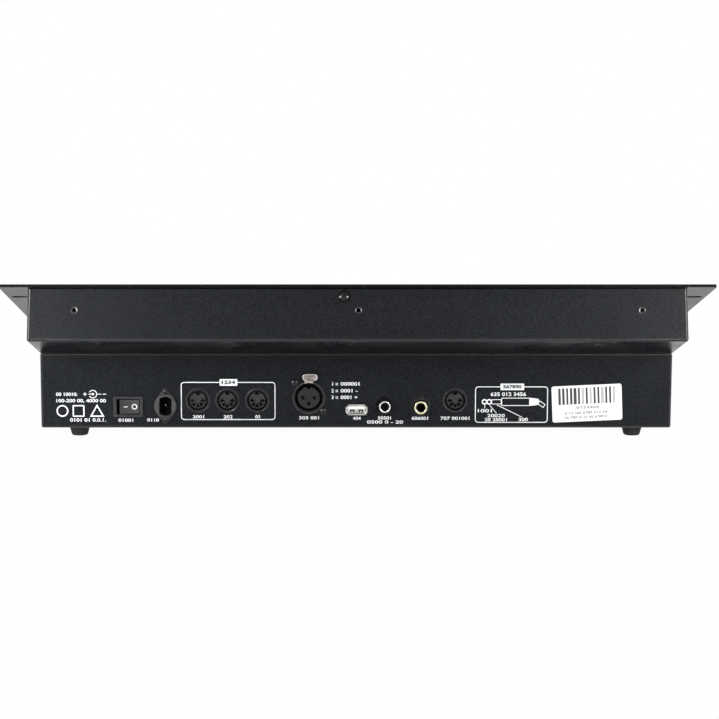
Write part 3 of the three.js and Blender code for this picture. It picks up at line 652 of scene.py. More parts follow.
HOLE_X = {"left": -191.4, "middle": -0.6, "right": 190.6}
HOLE_DROP = 15.1
HOLE_RADIUS = 2.25
INSERT_RADIUS = 2.2
INSERT_BORE = 1.55
# Painted glints on the inserts' mouths: middle and half-width of each crescent, in degrees
INSERT_GLINTS = {"left": ((-5, 62), (188, 28)), "middle": ((-8, 35), (188, 42)), "right": ((188, 66),)}
GLINT_RADIUS = INSERT_RADIUS - 0.05
GLINT_DEPTH = 0.6
CASE_SCREW_PLACE = (9.2, 5.6)
# Where the two painted glints sit on the case screw's head: across, and turn in degrees
GLINT_FACETS = ((2.4, 20), (-2.1, -20))
DEPTH = 14.5
DC_RISE = 0.6
FOOT_TAPER = 1.6
FOOT_SCREW_RISE = 3.9
PASSAGE = ((-208, -198), (208, -72))

tray_low, tray_high = local_box("upper_case", DECK)


def folded_box(closed_end, open_end):
    """A box with rounded folds, except at its open end."""
    shape = loft([closed_end, open_end])
    shape.verts.index_update()
    folds = [e for e in shape.edges if any(v.index < len(closed_end) for v in e.verts)]
    return rounded_edges(shape, folds, FOLD, 6)


def upper_case():
    """The folded tray under the panel, open to the lower case."""
    outline = rectangle(tray_low, tray_high)
    bottom = tray_low.z
    back = tray_high.y
    outer = folded_box(lifted(outline, bottom), lifted(outline, -PLAY))
    half = CASE_HALF - SHEET
    hollow = block((-half, tray_low.y + SHEET, bottom + SHEET), (half, back - SHEET, -PLAY - SHEET))
    mouth = block((-half, tray_low.y + LIP, -PLAY - 2 * SHEET), (half, back - LIP, 1))
    passage = block((*PASSAGE[0], bottom - 1), (*PASSAGE[1], bottom + 2 * SHEET))
    holes = [rod(HOLE_RADIUS, (x, back - 4, -HOLE_DROP), (x, back + 1, -HOLE_DROP)) for x in HOLE_X.values()]
    return carve(outer, hollow, mouth, passage, *holes)


def rear_openings():
    shapes = {
        "rocker_frame": [prism(rounded(19.2, 13.2, 0.5), -4, 4)],
        "dc_jack": [pin(7.3, -4, 4, 64, y=DC_RISE)],
        **{din: [pin(7.9, -4, 4, 72)] for din in nodes_named("din_socket")},
        "xlr_insert": [pin(11.4, -4, 4, 96), block((-3.8, 5.5, -4), (3.8, 15, 4))],
        "usb_port": [block((-7.9, -4.1, -4), (7.9, 4.1, 4))],
        "rca_jack": [pin(4.9, -4, 4)],
        "remote_jack": [pin(5, -4, 4)],
    }
    return [moved(shape, over(node, REAR)) for node, holes in shapes.items() for shape in holes]


def lower_case():
    """The folded wedge that carries the sockets, drawn in the rear frame."""

    def wedge(inset, top):
        half = CASE_HALF - inset
        front = inset - LOWER_LENGTH
        ends = [(half, front), (-half, front), (-half, -inset), (half, -inset)]
        open_end = [(u, LOWER_REAR + w * tan(slope) + top, w) for u, w in ends]
        return [(u, inset, w) for u, w in ends], open_end

    return carve(folded_box(*wedge(0, -0.05)), loft(wedge(SHEET, 5)), *rear_openings())


def on_tray_rear(x, drop):
    """A place on the tray's rear face, with z pointing out of it and y down."""
    return DECK @ at(x, tray_high.y, -drop) @ Matrix.Rotation(-pi / 2, 4, "X")


def worn_edge(middle, half):
    """A painted glint: a crescent of bright metal on the mouth of an insert, between angles in degrees."""
    shares = [-1 + i / 6 for i in range(13)]

    def point(radius, share):
        angle = radians(middle + half * share)
        return radius * cos(angle), radius * sin(angle)

    outer = [point(GLINT_RADIUS, s) for s in shares]
    inner = [point(GLINT_RADIUS - GLINT_DEPTH * (1 - s * s), s) for s in reversed(shares[1:-1])]
    return prism([*outer, *inner], 0.1, 0.16)


def screw(radius, height):
    """A pan head with a cross, standing on z = 0."""
    head = lathe([(0, 0), (radius, 0), *dome(radius, 0.35 * height, 0.65 * height), (0, height)], 40)
    reach = 0.62 * radius
    width = 0.17 * radius
    cross = [block((-x, -y, 0.45 * height), (x, y, height + 1)) for x, y in ((reach, width), (width, reach))]
    return carve(head, *cross)


def screws(stem, size, place, spots, turn, first_turn=0, digits=1):
    """A row of numbered screws, each turned a little further than the one before."""
    for i, spot in enumerate(spots):
        spun = place @ at(*spot, 0, first_turn + turn * i)
        piece(f"{stem}_screw_{i + 1:0{digits}}", screw(*size), spun, "black_steel")


def threaded_insert(side):
    place = on_tray_rear(HOLE_X[side], HOLE_DROP)
    rim = ring(circle(INSERT_RADIUS, 40), circle(INSERT_BORE, 40), -2, 0.1)
    piece(f"threaded_insert_{side}", rim, place, "dark_metal")
    # Bright steel crescents on the mouth: painted glints where light catches its rim
    glint_crescents = gather(*[worn_edge(middle, half) for middle, half in INSERT_GLINTS[side]])
    piece(f"insert_glint_{side}", glint_crescents, place, "worn_steel")


def case_screw():
    place = on_tray_rear(*CASE_SCREW_PLACE)
    piece("case_screw", screw(3.6, 1.8), place @ at(0, 0, 0, 30), "dull_black")
    # A thin near-black ring round the head: painted shade of its recess
    piece("case_screw_seat", ring(circle(4.4, 40), circle(3.65, 40), 0, 0.06), place, "void")
    # Two bright steel patches on the head: painted glints
    facets = [moved(soften(block((-0.85, -0.6, 1.3), (0.85, 0.6, 1.62)), 0.15), at(x, 0.5, 0, turn))
              for x, turn in GLINT_FACETS]
    piece("case_screw_wear", gather(*facets), place, "worn_steel")


def housing():
    keep("top_panel", "panel_paint")
    dull_rear_edge(finishes["panel_paint"][0])
    coats = ("paint", "fold_paint")
    polish_folds(piece("upper_shell", upper_case(), DECK, coats, replaces="upper_case"), DECK)
    polish_folds(piece("lower_shell", lower_case(), REAR, coats, replaces="lower_case"), REAR)
    seam = block((-CASE_HALF + 0.4, LOWER_REAR - 1, -0.1), (CASE_HALF - 0.4, LOWER_REAR - 0.12, 0.12))
    piece("seam_lip", soften(seam, 0.08), REAR, "fold_paint")
    for side in HOLE_X:
        threaded_insert(side)
    case_screw()


def feet():
    for node in nodes_named("foot_"):
        low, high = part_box(node)
        place = at((low.x + high.x) / 2, (low.y + high.y) / 2, 0) @ TO_METRES
        top = (high.x - low.x) / 2 / MM
        height = (high.z - low.z) / MM
        bottom = top - FOOT_TAPER
        inside = [(0, 4), (2.6, 4), (2.6, 0.3), (2.9, 0)]
        heel = [(bottom - 0.7, 0), (bottom - 0.2, 0.2), (bottom + 0.1, 0.8)]
        rim = [(top - 0.15, height - 1.4), (top, height - 0.8), (top, height - 0.2), (top - 0.15, height)]
        rubber = lathe([*inside, *heel, *rim, (0, height)], 56)
        piece(f"{node}_rubber", rubber, place, "rubber", replaces=node)
        down = at(0, 0, FOOT_SCREW_RISE) @ UPSIDE_DOWN
        piece(f"{node}_screw", screw(2.3, 1.6), place @ down, "nickel")


def bottom_screws():
    """Screws under the case that hold the connector board."""
    under = at(0, 0, case_low.z) @ UPSIDE_DOWN @ TO_METRES
    spots = [(x, y) for y in (-42, 72) for x in (-160, -55, 55, 160)]
    screws("bottom", (2.6, 1.2), under, spots, 23)


# Sockets of the rear face, each around its own axis with z pointing out

DIN_CONTACT_ANGLES = (-88, -43, 0, 43, 88)
DIN_RIB_ANGLES = (-112, -65, -21.5, 21.5, 65, 112)
XLR_OUTER = 11.1
XLR_INNER = 9.55
XLR_SCREWS = ((-10, 10.3), (10.2, -10))
XLR_CONTACTS = ((-4, 0), (4, 0), (0, -4.1))
LATCH_CENTRE = 14.8
LATCH_SHIFT = 0.9
USB_MOUTH = (12.5, 5.1)
USB_SPRINGS = (-3.1, 3.1)
USB_CHEEKS = (-5.5, 5.5)
DC_TIP = 10.8
DC_TIP_RADIUS = 1.8
DC_ROUND_RADIUS = 8.25
DC_SCREW = 10.1


def din_shell():
    """The round shell with the groove that takes the plug's shield."""
    outside = [(6, -DEPTH), (7.6, -DEPTH), (7.6, 0), (7.4, 0.2)]
    return tube([*outside, (7, 0.2), (6.85, 0), (6.85, -6), (6, -6)])


def din_insert():
    """The keyed insert with its five contact slots in the lower half and the ribs between them."""
    body = lathe([(0, -13), (5.9, -13), (5.9, -0.7), (5.6, -0.4), (0, -0.4)], 72)
    key = moved(prism(rounded(3, 3.6, 0.5, 3), -6, 1), at(0, 5.7))
    left = [(-0.25, -1.9), (-0.8, -2.9), (-1.2, -4.1), (-0.9, -5)]
    slot = [*left, *[(-x, y) for x, y in reversed(left)]]
    slots = [moved(prism(slot, -6, 1), at(0, 0, 0, a)) for a in DIN_CONTACT_ANGLES]
    rib = ((-0.2, -5.3, -0.6), (0.2, -2.4, 0))
    ribs = [moved(soften(block(*rib), 0.1), at(0, 0, 0, a)) for a in DIN_RIB_ANGLES]
    return gather(carve(body, key, *slots), *ribs)


def din_contacts():
    blades = [(angle, side) for angle in DIN_CONTACT_ANGLES for side in (-0.42, 0.42)]
    return gather(*[
        moved(block((side - 0.12, -4.1, -5.8), (side + 0.12, -3.1, -4.6)), at(0, 0, 0, angle))
        for angle, side in blades
    ])


def din_socket(node):
    place = on_rear(node)
    label = node.removeprefix("din_socket_")
    piece(f"din_shell_{label}", din_shell(), place, "dull_black", replaces=node)
    piece(f"din_insert_{label}", din_insert(), place, "insert")
    piece(f"din_contacts_{label}", din_contacts(), place, "black_steel")
    flange = tube([(7.7, 0.02), (8.55, 0.02), (8.5, 0.3), (8.25, 0.4), (7.9, 0.3), (7.7, 0.1)])
    piece(f"din_flange_{label}", flange, place, "black_plastic")
    if label != "thru":
        tab = lathe([(0.45, 0), (0.45, 0.3), (0.3, 0.45), (0, 0.5)], 16)
        piece(f"din_tab_{label}", tab, place @ at(4.3, -7, 0.2), "screw_steel")


def xlr_notch():
    return block((-3.8, 9, -8), (3.8, 14, 4))


def xlr_shell():
    barrel = [(XLR_INNER, -DEPTH), (XLR_OUTER, -DEPTH), (XLR_OUTER, 1)]
    crest = [(11, 1.3), (10.85, 1.4), (10.7, 1.3), (10.6, 0.8)]
    step = [(9.95, 0.7), (9.8, 0.95), (9.65, 0.9), (XLR_INNER, 0.6)]
    return carve(tube([*barrel, *crest, *step], 96), xlr_notch())


def xlr_insert():
    """The insert with its three contact holes and its keyway."""
    base = [(0, -DEPTH), (9.2, -DEPTH), (9.2, -11.5), (7.95, -11.5)]
    core = lathe([*base, (7.95, 0.2), (7.5, 0.6), (0, 0.6)], 80)
    keyway = moved(prism(rounded(3.2, 3, 0.6, 3), -9, 2), at(0, 7.9))
    grooves = [pin(0.9, -9, 2, 24, side * 5.4, 5.9) for side in (-1, 1)]
    holes = [pin(1.35, -9, 2, 32, *contact) for contact in XLR_CONTACTS]
    return carve(core, keyway, *grooves, *holes)


def latch_outline(half_width, half_height, sides=56):
    points = []
    for across, up in circle(1, sides):
        x = half_width * copysign(abs(across) ** 0.6, across)
        points.append((x, half_height * copysign(abs(up) ** 0.75, up)))
    return points


def latch_tab():
    tab = soften(prism(latch_outline(5.1, 2.3), 1.9, 3.5), 0.3)
    bowl = lathe([(0, -1), *arc(1, -75, 75, 10), (0, 1)], 40)
    bowl.transform(at(0, 0, 4.3) @ Matrix.Diagonal((3.9, 1.6, 1.3, 1)))
    return moved(carve(tab, bowl), at(LATCH_SHIFT, LATCH_CENTRE))


def latch_rim():
    """The bright bead round the tab, open below, and the bright lip of the neck, in a lighter metal than the
    latch: painted highlights.
    """
    hollow = prism(latch_outline(4.2, 1.9), 2, 4.5)
    opening = block((-2.9, -3, 2), (2.9, -1, 4.5))
    bead = carve(prism(latch_outline(5.4, 2.5), 2.3, 3.9), hollow, opening)
    lip = soften(block((-2.2, 11.05, 2.2), (2.9, 11.9, 2.9)), 0.15)
    return gather(moved(soften(bead, 0.25), at(LATCH_SHIFT, LATCH_CENTRE)), lip)


def latch_arm():
    """The neck of the latch, the thin shoulder that follows the ring, and the arm inside."""
    low = [(-3.4, 10.8), (3.5, 10.8), (3.4, 12.4), (3.4, LATCH_CENTRE), (-1.9, LATCH_CENTRE), (-1.9, 12.4)]
    neck = soften(prism(low, 1.65, 2.6), 0.2)
    arm = block((-3.3, 11.7, -6), (3.3, 13.2, 1.8))
    shoulder = prism([*arc(11.25, 72, 108, 12), *arc(10.6, 108, 72, 12)], 1.65, 2.3)
    return gather(neck, arm, soften(shoulder, 0.15))


def xlr_socket():
    place = on_rear("xlr_insert")
    piece("xlr_ring", xlr_shell(), place, "dull_black", replaces="xlr_shell")
    rim = tube([(10.95, 0.35), (11.35, 0.35), (11.35, 1.2), (11.2, 1.5), (10.95, 1.5)], 96)
    piece("xlr_rim", carve(rim, xlr_notch()), place, "rim_metal")
    piece("xlr_core", xlr_insert(), place, "dark_insert", replaces="xlr_insert")
    contacts = [moved(sleeve(0.8, 1.2, -8.5, -3.5, 24), at(x, y)) for x, y in XLR_CONTACTS]
    piece("xlr_contacts", gather(*contacts), place, "black_steel")
    latch = "xlr_latch_body"
    piece("xlr_latch_tab", latch_tab(), place, "warm_nickel", latch, replaces="xlr_latch")
    piece("xlr_latch_arm", latch_arm(), place, "warm_nickel", latch)
    # The lighter bead and lip are painted highlights on the latch
    piece("xlr_latch_rim", latch_rim(), place, "soft_nickel", latch)
    screws("xlr", (2.7, 1.5), place, XLR_SCREWS, 20)


def usb_can():
    can = [lifted(octagon(13.6, 6.2, 0.4), z) for z in (-DEPTH, -0.5)]
    flare = [(15, 7.4, 2, 0.55), (15.2, 7.6, 2.1, 0.8), (15.1, 7.5, 2.1, 1)]
    lead_in = [(14.5, 6.9, 1.9, 0.95), (13, 5.6, 0.8, 0.1)]
    lip = [lifted(octagon(*size), z) for *size, z in (*flare, *lead_in)]
    mouth = [lifted(octagon(*USB_MOUTH, 0.3), z) for z in (-0.6, -11)]
    return loft([*can, *lip, *mouth])


def usb_springs():
    """The spring plate below the tongue, with a post and two pointed springs that press on the plug."""
    floor_plate = block((-6, -2.5, -9), (6, -2.25, -0.1))
    post = block((-1.3, -2.25, -1.2), (1.3, 0.15, -0.5))
    spring = [(-0.9, -0.3), (0.9, -0.3), (0.25, 0.85), (-0.25, 0.85)]
    springs = [moved(soften(prism(spring, -4, -0.8), 0.1), at(x, -1.95)) for x in USB_SPRINGS]
    return gather(floor_plate, post, *springs)


def usb_blocks(middles, half_width, front):
    """Blocks in the lower half of the can, one around each middle."""
    return [block((x - half_width, -2.2, -9), (x + half_width, 0.15, front)) for x in middles]


def usb_socket():
    place = on_rear("usb_port")
    piece("usb_can", usb_can(), place, "nickel", replaces="usb_port")
    piece("usb_tongue", soften(block((-5.9, 0.2, -11), (5.9, 2.35, 0.35)), 0.2), place, "white_plastic")
    # Black blocks in the lower half of the can, beside the springs: painted shade in its depth
    piece("usb_depth_shade", gather(*usb_blocks(USB_SPRINGS, 1.7, -1.1)), place, "black_plastic")
    # A near-black block behind the cut-out, round the can: painted shade in the gap
    gap_shade = carve(block((-7.8, -4, -6), (7.8, 4, -1.4)), block((-6.85, -3.15, -7), (6.85, 3.15, 0)))
    piece("usb_gap_shade", gap_shade, place, "void")
    piece("usb_springs", usb_springs(), place, "soft_nickel")
    cheeks = [soften(cheek, 0.1) for cheek in usb_blocks(USB_CHEEKS, 0.65, -0.4)]
    piece("usb_cheeks", gather(*cheeks), place, "nickel")


def phono_socket():
    """The phono jack: a plated barrel on a black base, with its core and centre contact."""
    place = on_rear("rca_jack")
    base = tube([(4.25, PLAY), (5.65, PLAY), (5.65, 0.9), (5.35, 1.2), (4.25, 1.2)])
    piece("phono_base", base, place, "void")
    outside = [(2.95, 1.2), (4.2, 1.2), (4.2, 8.8), (4, 9.3), (3.8, 9.45)]
    barrel = tube([*outside, (3.4, 9.45), (3.15, 9.3), (2.95, 8.9)])
    piece("phono_barrel", barrel, place, "nickel", replaces="rca_jack")
    core = tube([(1.7, -8), (2.9, -8), (2.9, 5), (1.95, 5), (1.7, 4.7)], 48)
    piece("phono_core", core, place, "void")
    body = block((-5, -6, -DEPTH), (5, 6, -SHEET - PLAY))
    body = carve(body, pin(4.6, -2, 0.2), operation="UNION")
    piece("phono_body", carve(body, pin(2.9, -8.1, 1)), place, "black_plastic")
    piece("phono_contact", sleeve(1.35, 1.65, -7, 2.5, 32), place, "black_steel")


def thread(radius, low, high, pitch):
    starts = [low + i * pitch for i in range(int((high - low) / pitch))]
    return [p for z in starts for p in ((radius - 0.28, z), (radius, z + pitch * 0.5))]


def quarter_inch_socket():
    place = on_rear("remote_jack")
    outside = [(3.2, -2), (4.4, -2), *thread(4.4, -1.8, 6.6, 0.7), (4.4, 6.8), (4.7, 7.2)]
    mouth = [(4.7, 8.1), (4.5, 8.4), (4.2, 8.5), (3.5, 8.5), (3.25, 8.3), (3.2, 8)]
    piece("jack_bushing", tube([*outside, *mouth]), place, "gold", replaces="remote_jack", sharp=50)
    washer = tube([(4.8, PLAY), (7.6, PLAY), (7.6, 0.7), (7.4, 0.8), (4.8, 0.8)])
    piece("jack_washer", washer, place, "dull_black")
    nut = carve(prism(circle(7.2, 6, 15), 0.8, 3.2), pin(4.75, 0, 4))
    facing = lathe([(0, 0.8), (7.2, 0.8), (7.2, 2.75), (6.3, 3.2), (0, 3.2)], 48)
    piece("jack_nut", carve(nut, facing, operation="INTERSECT"), place, "dull_black")
    body = block((-6.5, -7, -DEPTH), (6.5, 7, -SHEET - PLAY))
    piece("jack_body", carve(body, pin(3.3, -13, 1)), place, "black_plastic")
    # A near-black sleeve inside the bushing: painted shade in the bore
    piece("jack_bore_shade", sleeve(2.95, 3.15, -12.5, 7.6, 64), place, "void")


def diamond(shrink=0):
    """The outline round a large circle and a small one above and below it."""
    lean = degrees(asin((DC_ROUND_RADIUS - DC_TIP_RADIUS) / DC_TIP))
    big = DC_ROUND_RADIUS - shrink
    small = DC_TIP_RADIUS - shrink
    return [
        *arc(small, lean, 180 - lean, 10, (0, DC_TIP)),
        *arc(big, 180 - lean, 180 + lean, 14),
        *arc(small, 180 + lean, 360 - lean, 10, (0, -DC_TIP)),
        *arc(big, -lean, lean, 14),
    ]


def flat_sided(radius, half_width, low, high):
    slab = block((-half_width, -7, -10), (half_width, 7, 5))
    return carve(pin(radius, low, high, 64), slab, operation="INTERSECT")


def dc_inlet():
    """The power inlet: a flange with two screws and a flat-sided mouth round a centre pin."""
    place = on_rear("dc_jack") @ at(0, DC_RISE)
    levels = ((0, PLAY), (0, 1.5), (0.15, 1.8), (0.45, 1.9))
    plate = loft([lifted(diamond(shrink), z) for shrink, z in levels])
    flange = carve(plate, pin(7, -DEPTH, 1.2), operation="UNION")
    mouth = flat_sided(6.8, 4.4, -9, 4)
    collar = lathe([(0, 1), (8, 1), (8, 2.2), (7.8, 2.6), (7.4, 2.85), (7, 2.9), (0, 2.9)], 64)
    piece("dc_flange", carve(flange, mouth.copy()), place, "black_plastic", replaces="dc_jack")
    piece("dc_collar", carve(collar, mouth), place, "inlet_plastic")
    # A near-black sheet inside the mouth: painted shade
    mouth_shade = carve(flat_sided(6.75, 4.35, -8.9, 1.6), flat_sided(6.5, 3.85, -8.4, 3))
    piece("dc_mouth_shade", mouth_shade, place, "void")
    centre_pin = lathe([(0, -8.5), (1.05, -8.5), (1.05, -1.7), (0.75, -1.1), (0.35, -0.95), (0, -0.95)], 32)
    piece("dc_pin", centre_pin, place, "black_steel")
    screws("dc", (1.75, 1), place @ at(0, 0, 1.85), ((0, DC_SCREW), (0, -DC_SCREW)), 40, 25)


# Power switch

ROCKER_PIVOT = -0.6
ROCKER_HALF = 7.2
ROCKER_SHORT = 6.3
ROCKER_END = 3.0
ROCKER_DIP = 1.2
ROCKER_TILT = 10.0
ROCKER_WIDTH = 9.9
POCKET = (16.2, 11.1)
LYING = Matrix(((1, 0, 0, 0), (0, 0, -1, 0), (0, 1, 0, 0), (0, 0, 0, 1)))


def rocker_face(x):
    return ROCKER_END - ROCKER_DIP + ROCKER_DIP * (x / ROCKER_HALF) ** 2


def rocker_key():
    """The rocker seen from its side, hollowed on top and round below, pressed out along v."""
    reach = ROCKER_HALF + ROCKER_SHORT
    top = [(x, rocker_face(x)) for x in [ROCKER_HALF - reach * i / 20 for i in range(21)]]
    under = [(-6.1, -1), (-5.2, -3.4), (-3, -5), (0, -5.4), (3.2, -5), (5.6, -3.4), (6.9, -1)]
    side = prism([*top, *under], -ROCKER_WIDTH / 2, ROCKER_WIDTH / 2)
    return soften(moved(side, LYING), 0.3)


def rocker_marks():
    """The bar and the ring on the rocker's two ends, laid on its curved face."""
    starts = [-3.5 + 0.35 * i for i in range(8)]
    bar = gather(*[block((x, -0.3, 0), (x + 0.35, 0.3, INK)) for x in starts])
    marks = gather(bar, printed_ring(1.9, 0.55, 4, 0, 40))
    for vert in marks.verts:
        vert.co.z += rocker_face(vert.co.x)
    return marks


def power_switch():
    place = on_rear("rocker_frame")
    pocket = prism(rounded(*POCKET, 0.4), -9, 3)
    bezel = soften(carve(prism(rounded(21, 14.4, 0.9), PLAY, 1.6), pocket.copy()), 0.3)
    piece("rocker_bezel", bezel, place, "rocker_plastic", replaces="rocker_frame")
    body = carve(block((-9.3, -6.3, -DEPTH), (9.3, 6.3, PLAY)), pocket)
    piece("rocker_body", body, place, "void")
    tilt = at(0, 0, ROCKER_PIVOT) @ Matrix.Rotation(radians(ROCKER_TILT), 4, "Y")
    moving = "power_rocker_body"
    # The key's lighter finish is a painted sheen
    piece("rocker_key", rocker_key(), place @ tilt, "rocker_face", moving, replaces="power_rocker")
    piece("rocker_marks", rocker_marks(), place @ tilt, "white_ink", moving)


# Controls on the panel, each around its own centre with z square to the panel

CAP_HALF_LENGTH = 11.5
CAP_LOW = 2.2
CAP_HIGH = 12.5
CAP_DIP = 2.2
CAP_DIP_REACH = 8.5
CAP_HALF_WIDTHS = (5.6, 4.4)
GRIP_PITCH = 1.5
GRIP_RIDGES = 11
PIVOT_DEPTH = -8.0
DOME_RADIUS = 18.0


def cap_top(y):
    """Height of the grip, hollowed towards its middle."""
    return CAP_HIGH - CAP_DIP * (1 - min(1, abs(y) / CAP_DIP_REACH) ** 2)


def fader_cap():
    """A waisted cap with a ridged grip and the blade that goes down into its fader."""
    rise = [(0, CAP_LOW), (0, CAP_LOW + 0.8), (1.2, CAP_HIGH - 1.6), (1.7, CAP_HIGH - 0.5), (2.6, CAP_HIGH)]
    side = [(y - CAP_HALF_LENGTH, z) for y, z in rise]
    grip = []
    for i in range(GRIP_RIDGES):
        y = (i - (GRIP_RIDGES - 1) / 2) * GRIP_PITCH
        grip += [(y - 0.7, cap_top(y) - 0.45), (y - 0.4, cap_top(y)), (y + 0.4, cap_top(y))]
    outline = [*side, *grip, *[(-y, z) for y, z in reversed(side)]]

    def half_width(z):
        share = (z - CAP_LOW) / (CAP_HIGH - CAP_LOW)
        return CAP_HALF_WIDTHS[0] + (CAP_HALF_WIDTHS[1] - CAP_HALF_WIDTHS[0]) * share

    loops = [[(end * half_width(z), y, z) for y, z in outline] for end in (-1, 1)]
    cap = soften(loft(loops), 0.25, above=50)
    return gather(cap, block((-0.6, -2, -4.8), (0.6, 2, CAP_LOW + 0.5)))


def mark_middle_ridge(thing, middle):
    """Paints the top of the ridge in the middle of a cap."""
    to_deck = DECK.inverted()
    for face in thing.data.polygons:
        local = to_deck @ face.center
        if abs(local.y - middle) < 0.35 and local.z > 8 and face.normal.z > 0.5:
            face.material_index = 1


def fader_caps():
    for node in nodes_named("fader_cap"):
        grip = piece(node.replace("cap", "grip"), fader_cap(), DECK @ over(node, DECK),
                     ("cap_plastic", "white_ink"), f"{node}_body", replaces=node)
        mark_middle_ridge(grip, centre_of(node, DECK).y)


def joystick():
    """Ball, shaft, dust dome and knob of the stick, and the trim ring round its collar."""
    place = DECK @ over("joystick_housing", DECK, PIVOT_DEPTH)
    ball = [(0, -4), *arc(4, -68, 51, 10)]
    skirt = [*arc(DOME_RADIUS - 1.5, 81, 10, 18), *arc(DOME_RADIUS, 10, 79, 20)]
    neck = [(3.3, 18.4), (2.5, 19.2), (2.5, 22.3), (3, 23.2), (4.2, 24), (6.3, 24.9), (7.1, 25.6)]
    knob = [(7.6, 26.8), (7.8, 28), (7.6, 29.6), (7.1, 31), (6.2, 32), (5.2, 32.5), (4.2, 32.55)]
    lever = lathe([*ball, *skirt, *neck, *knob, (3, 32.25), (0, 32)], 72)
    moving = "joystick_stick_body"
    piece("joystick_lever", lever, place, "black_plastic", moving, replaces="joystick_stick", sharp=50)
    piece("joystick_pins", rod(1.4, (0, -9.8, 0), (0, 9.8, 0), 24), place, "nickel", moving)
    top = -PIVOT_DEPTH + PANEL_THICKNESS
    trim = [(20.9, top), (25.5, top), (25.5, top + 0.5), (24.9, top + 1), (21.2, top + 1), (20.9, top + 0.7)]
    piece("joystick_trim", tube(trim, 96), place, "black_plastic")


# Lamps, screws and prints on the panel

KEY_GAP = 10.5
SINGLE_KEYS = ("program_button", "page_button", "mode_button", "tap_button")
FADER_TOP = -108.0
FADER_TRAVEL = 60.0
LINE_WIDTH = 0.7
GROUP_CORNERS = (
    ((-208, -176), (-141.5, -46)),
    ((-135.5, -80.5), (63.5, -46)),
    ((-135.5, -184), (63.5, -87)),
    ((70, -184), (125.5, -87)),
    ((131.5, -99), (213, -68.5)),
)
GROUP_TABS = (("1 - 8", -174.7, -46), ("1 - 8", -34, -46), ("0 - 10", 98, -87))


def lamp(node, right, up, finish):
    """A ringed lamp beside a key or above it."""
    centre = centre_of(node, DECK)
    place = ON_PANEL @ at(centre.x + right, centre.y + up)
    name = node.replace("button", "lamp")
    rim = tube([(1.55, 0), (2.3, 0), (2.3, 0.35), (2.1, 0.55), (1.7, 0.55), (1.55, 0.4)], 40)
    piece(f"{name}_ring", rim, place, "black_plastic")
    piece(f"{name}_lens", lathe([(0, -1.2), (1.5, -1.2), *dome(1.5, 0.3, 0.9), (0, 1.2)], 40), place, finish)


def key_lamps():
    for node in nodes_named("fixture_button"):
        lamp(node, KEY_GAP, 0, "red_lens")
    above = (*nodes_named("scene_button"), "program_button", "mode_button", "page_button", "tap_button")
    for node in above:
        lamp(node, 0, KEY_GAP, "green_lens")
    lamp("blackout_button", 0, KEY_GAP, "red_lens")


def panel_screws():
    """Flush screws that hold the panel on the lips of the case."""
    spots = [(x, y) for y in (-8.5, -213) for x in (-216, -108, 0, 108, 216)]
    spots += [(x, -110) for x in (-216, 216)]
    screws("panel", (2.6, 0.55), ON_PANEL, spots, 17, digits=2)


def fader_scale(x):
    """Ten steps on both sides of a slot, numbered on the left one."""
    marks = []
    for i in range(11):
        y = FADER_TOP - FADER_TRAVEL * i / 10
        length, width = (2.6, 0.45) if i % 5 == 0 else (1.6, 0.3)
        for side in (-1, 1):
            marks.append(line((x + side * 6.6, y), (x + side * (6.6 + length), y), width))
    for step in (10, 5, 0):
        y = FADER_TOP - FADER_TRAVEL * (1 - step / 10)
        marks.append(lettering(str(step), 1.9, at(x - 10.3, y), align="RIGHT"))
    return marks


def key_number(node, number, height, drop):
    centre = centre_of(node, DECK)
    return lettering(str(number), height, at(centre.x, centre.y - drop))


def panel_prints():
    for node in nodes_named("fader_cap"):
        printed(node.replace("cap", "scale"), fader_scale(centre_of(node, DECK).x), ON_PANEL)
    numbers = []
    for stem in ("fixture_button", "scene_button"):
        numbers += [key_number(node, i + 1, 3.4, 9.2) for i, node in enumerate(nodes_named(stem))]
    numbers += [key_number(node, i + 11, 2.8, 9) for i, node in enumerate(SINGLE_KEYS)]
    numbers.append(key_number("blackout_button", 0, 3.4, 9.2))
    printed("key_numbers", numbers, ON_PANEL)
    frames = [printed_frame(low, high, 4, LINE_WIDTH) for low, high in GROUP_CORNERS]
    printed("group_frames", frames, ON_PANEL)
    tabs = [printed_tab(22, 4.6, 1.2, x, y) for _, x, y in GROUP_TABS]
    printed("group_tabs", tabs, ON_PANEL @ at(0, 0, INK))
    digits = [lettering(words, 2.6, at(x, y)) for words, x, y in GROUP_TABS]
    printed("group_digits", digits, ON_PANEL @ at(0, 0, 2 * INK), "dark_ink")


def arrows():
    head = [(-2.2, 29), (2.2, 29), (0, 32)]
    middle = over("joystick_housing", DECK)
    heads = [moved(prism(head, 0, INK), middle @ at(0, 0, 0, 90 * i)) for i in range(4)]
    printed("joystick_arrows", heads, ON_PANEL)


def display():
    low, high = local_box("display_window", DECK)
    place = over("display_window", DECK)

    def outline(margin, radius):
        return rounded(high.x - low.x + margin, high.y - low.y + margin, radius)

    outer = outline(7, 2.5)
    inner = outline(-1, 1.5)
    top = [lifted(outline(5.6, 1.8), 1), lifted(outline(0.4, 1.6), 1)]
    loops = [lifted(outer, 0), lifted(outer, 0.4), *top, lifted(inner, 0.5), lifted(inner, 0)]
    piece("display_frame", loft(loops, closed=True), ON_PANEL @ place, "black_plastic")
    piece("display_screen", prism(outline(-5, 0.6), -1.38, -1.25), DECK @ place, "screen")
    rows = (("001", 7.5, -20, 3), ("255", 7.5, 20, 3), ("1  2  3  4  5  6  7  8", 2.6, 0, -6.5))
    shown = [lettering(words, height, at(x, y), bold=0.02) for words, height, x, y in rows]
    printed("display_digits", shown, DECK @ place @ at(0, 0, -1.25), "screen_digit")


# Prints and label on the rear face

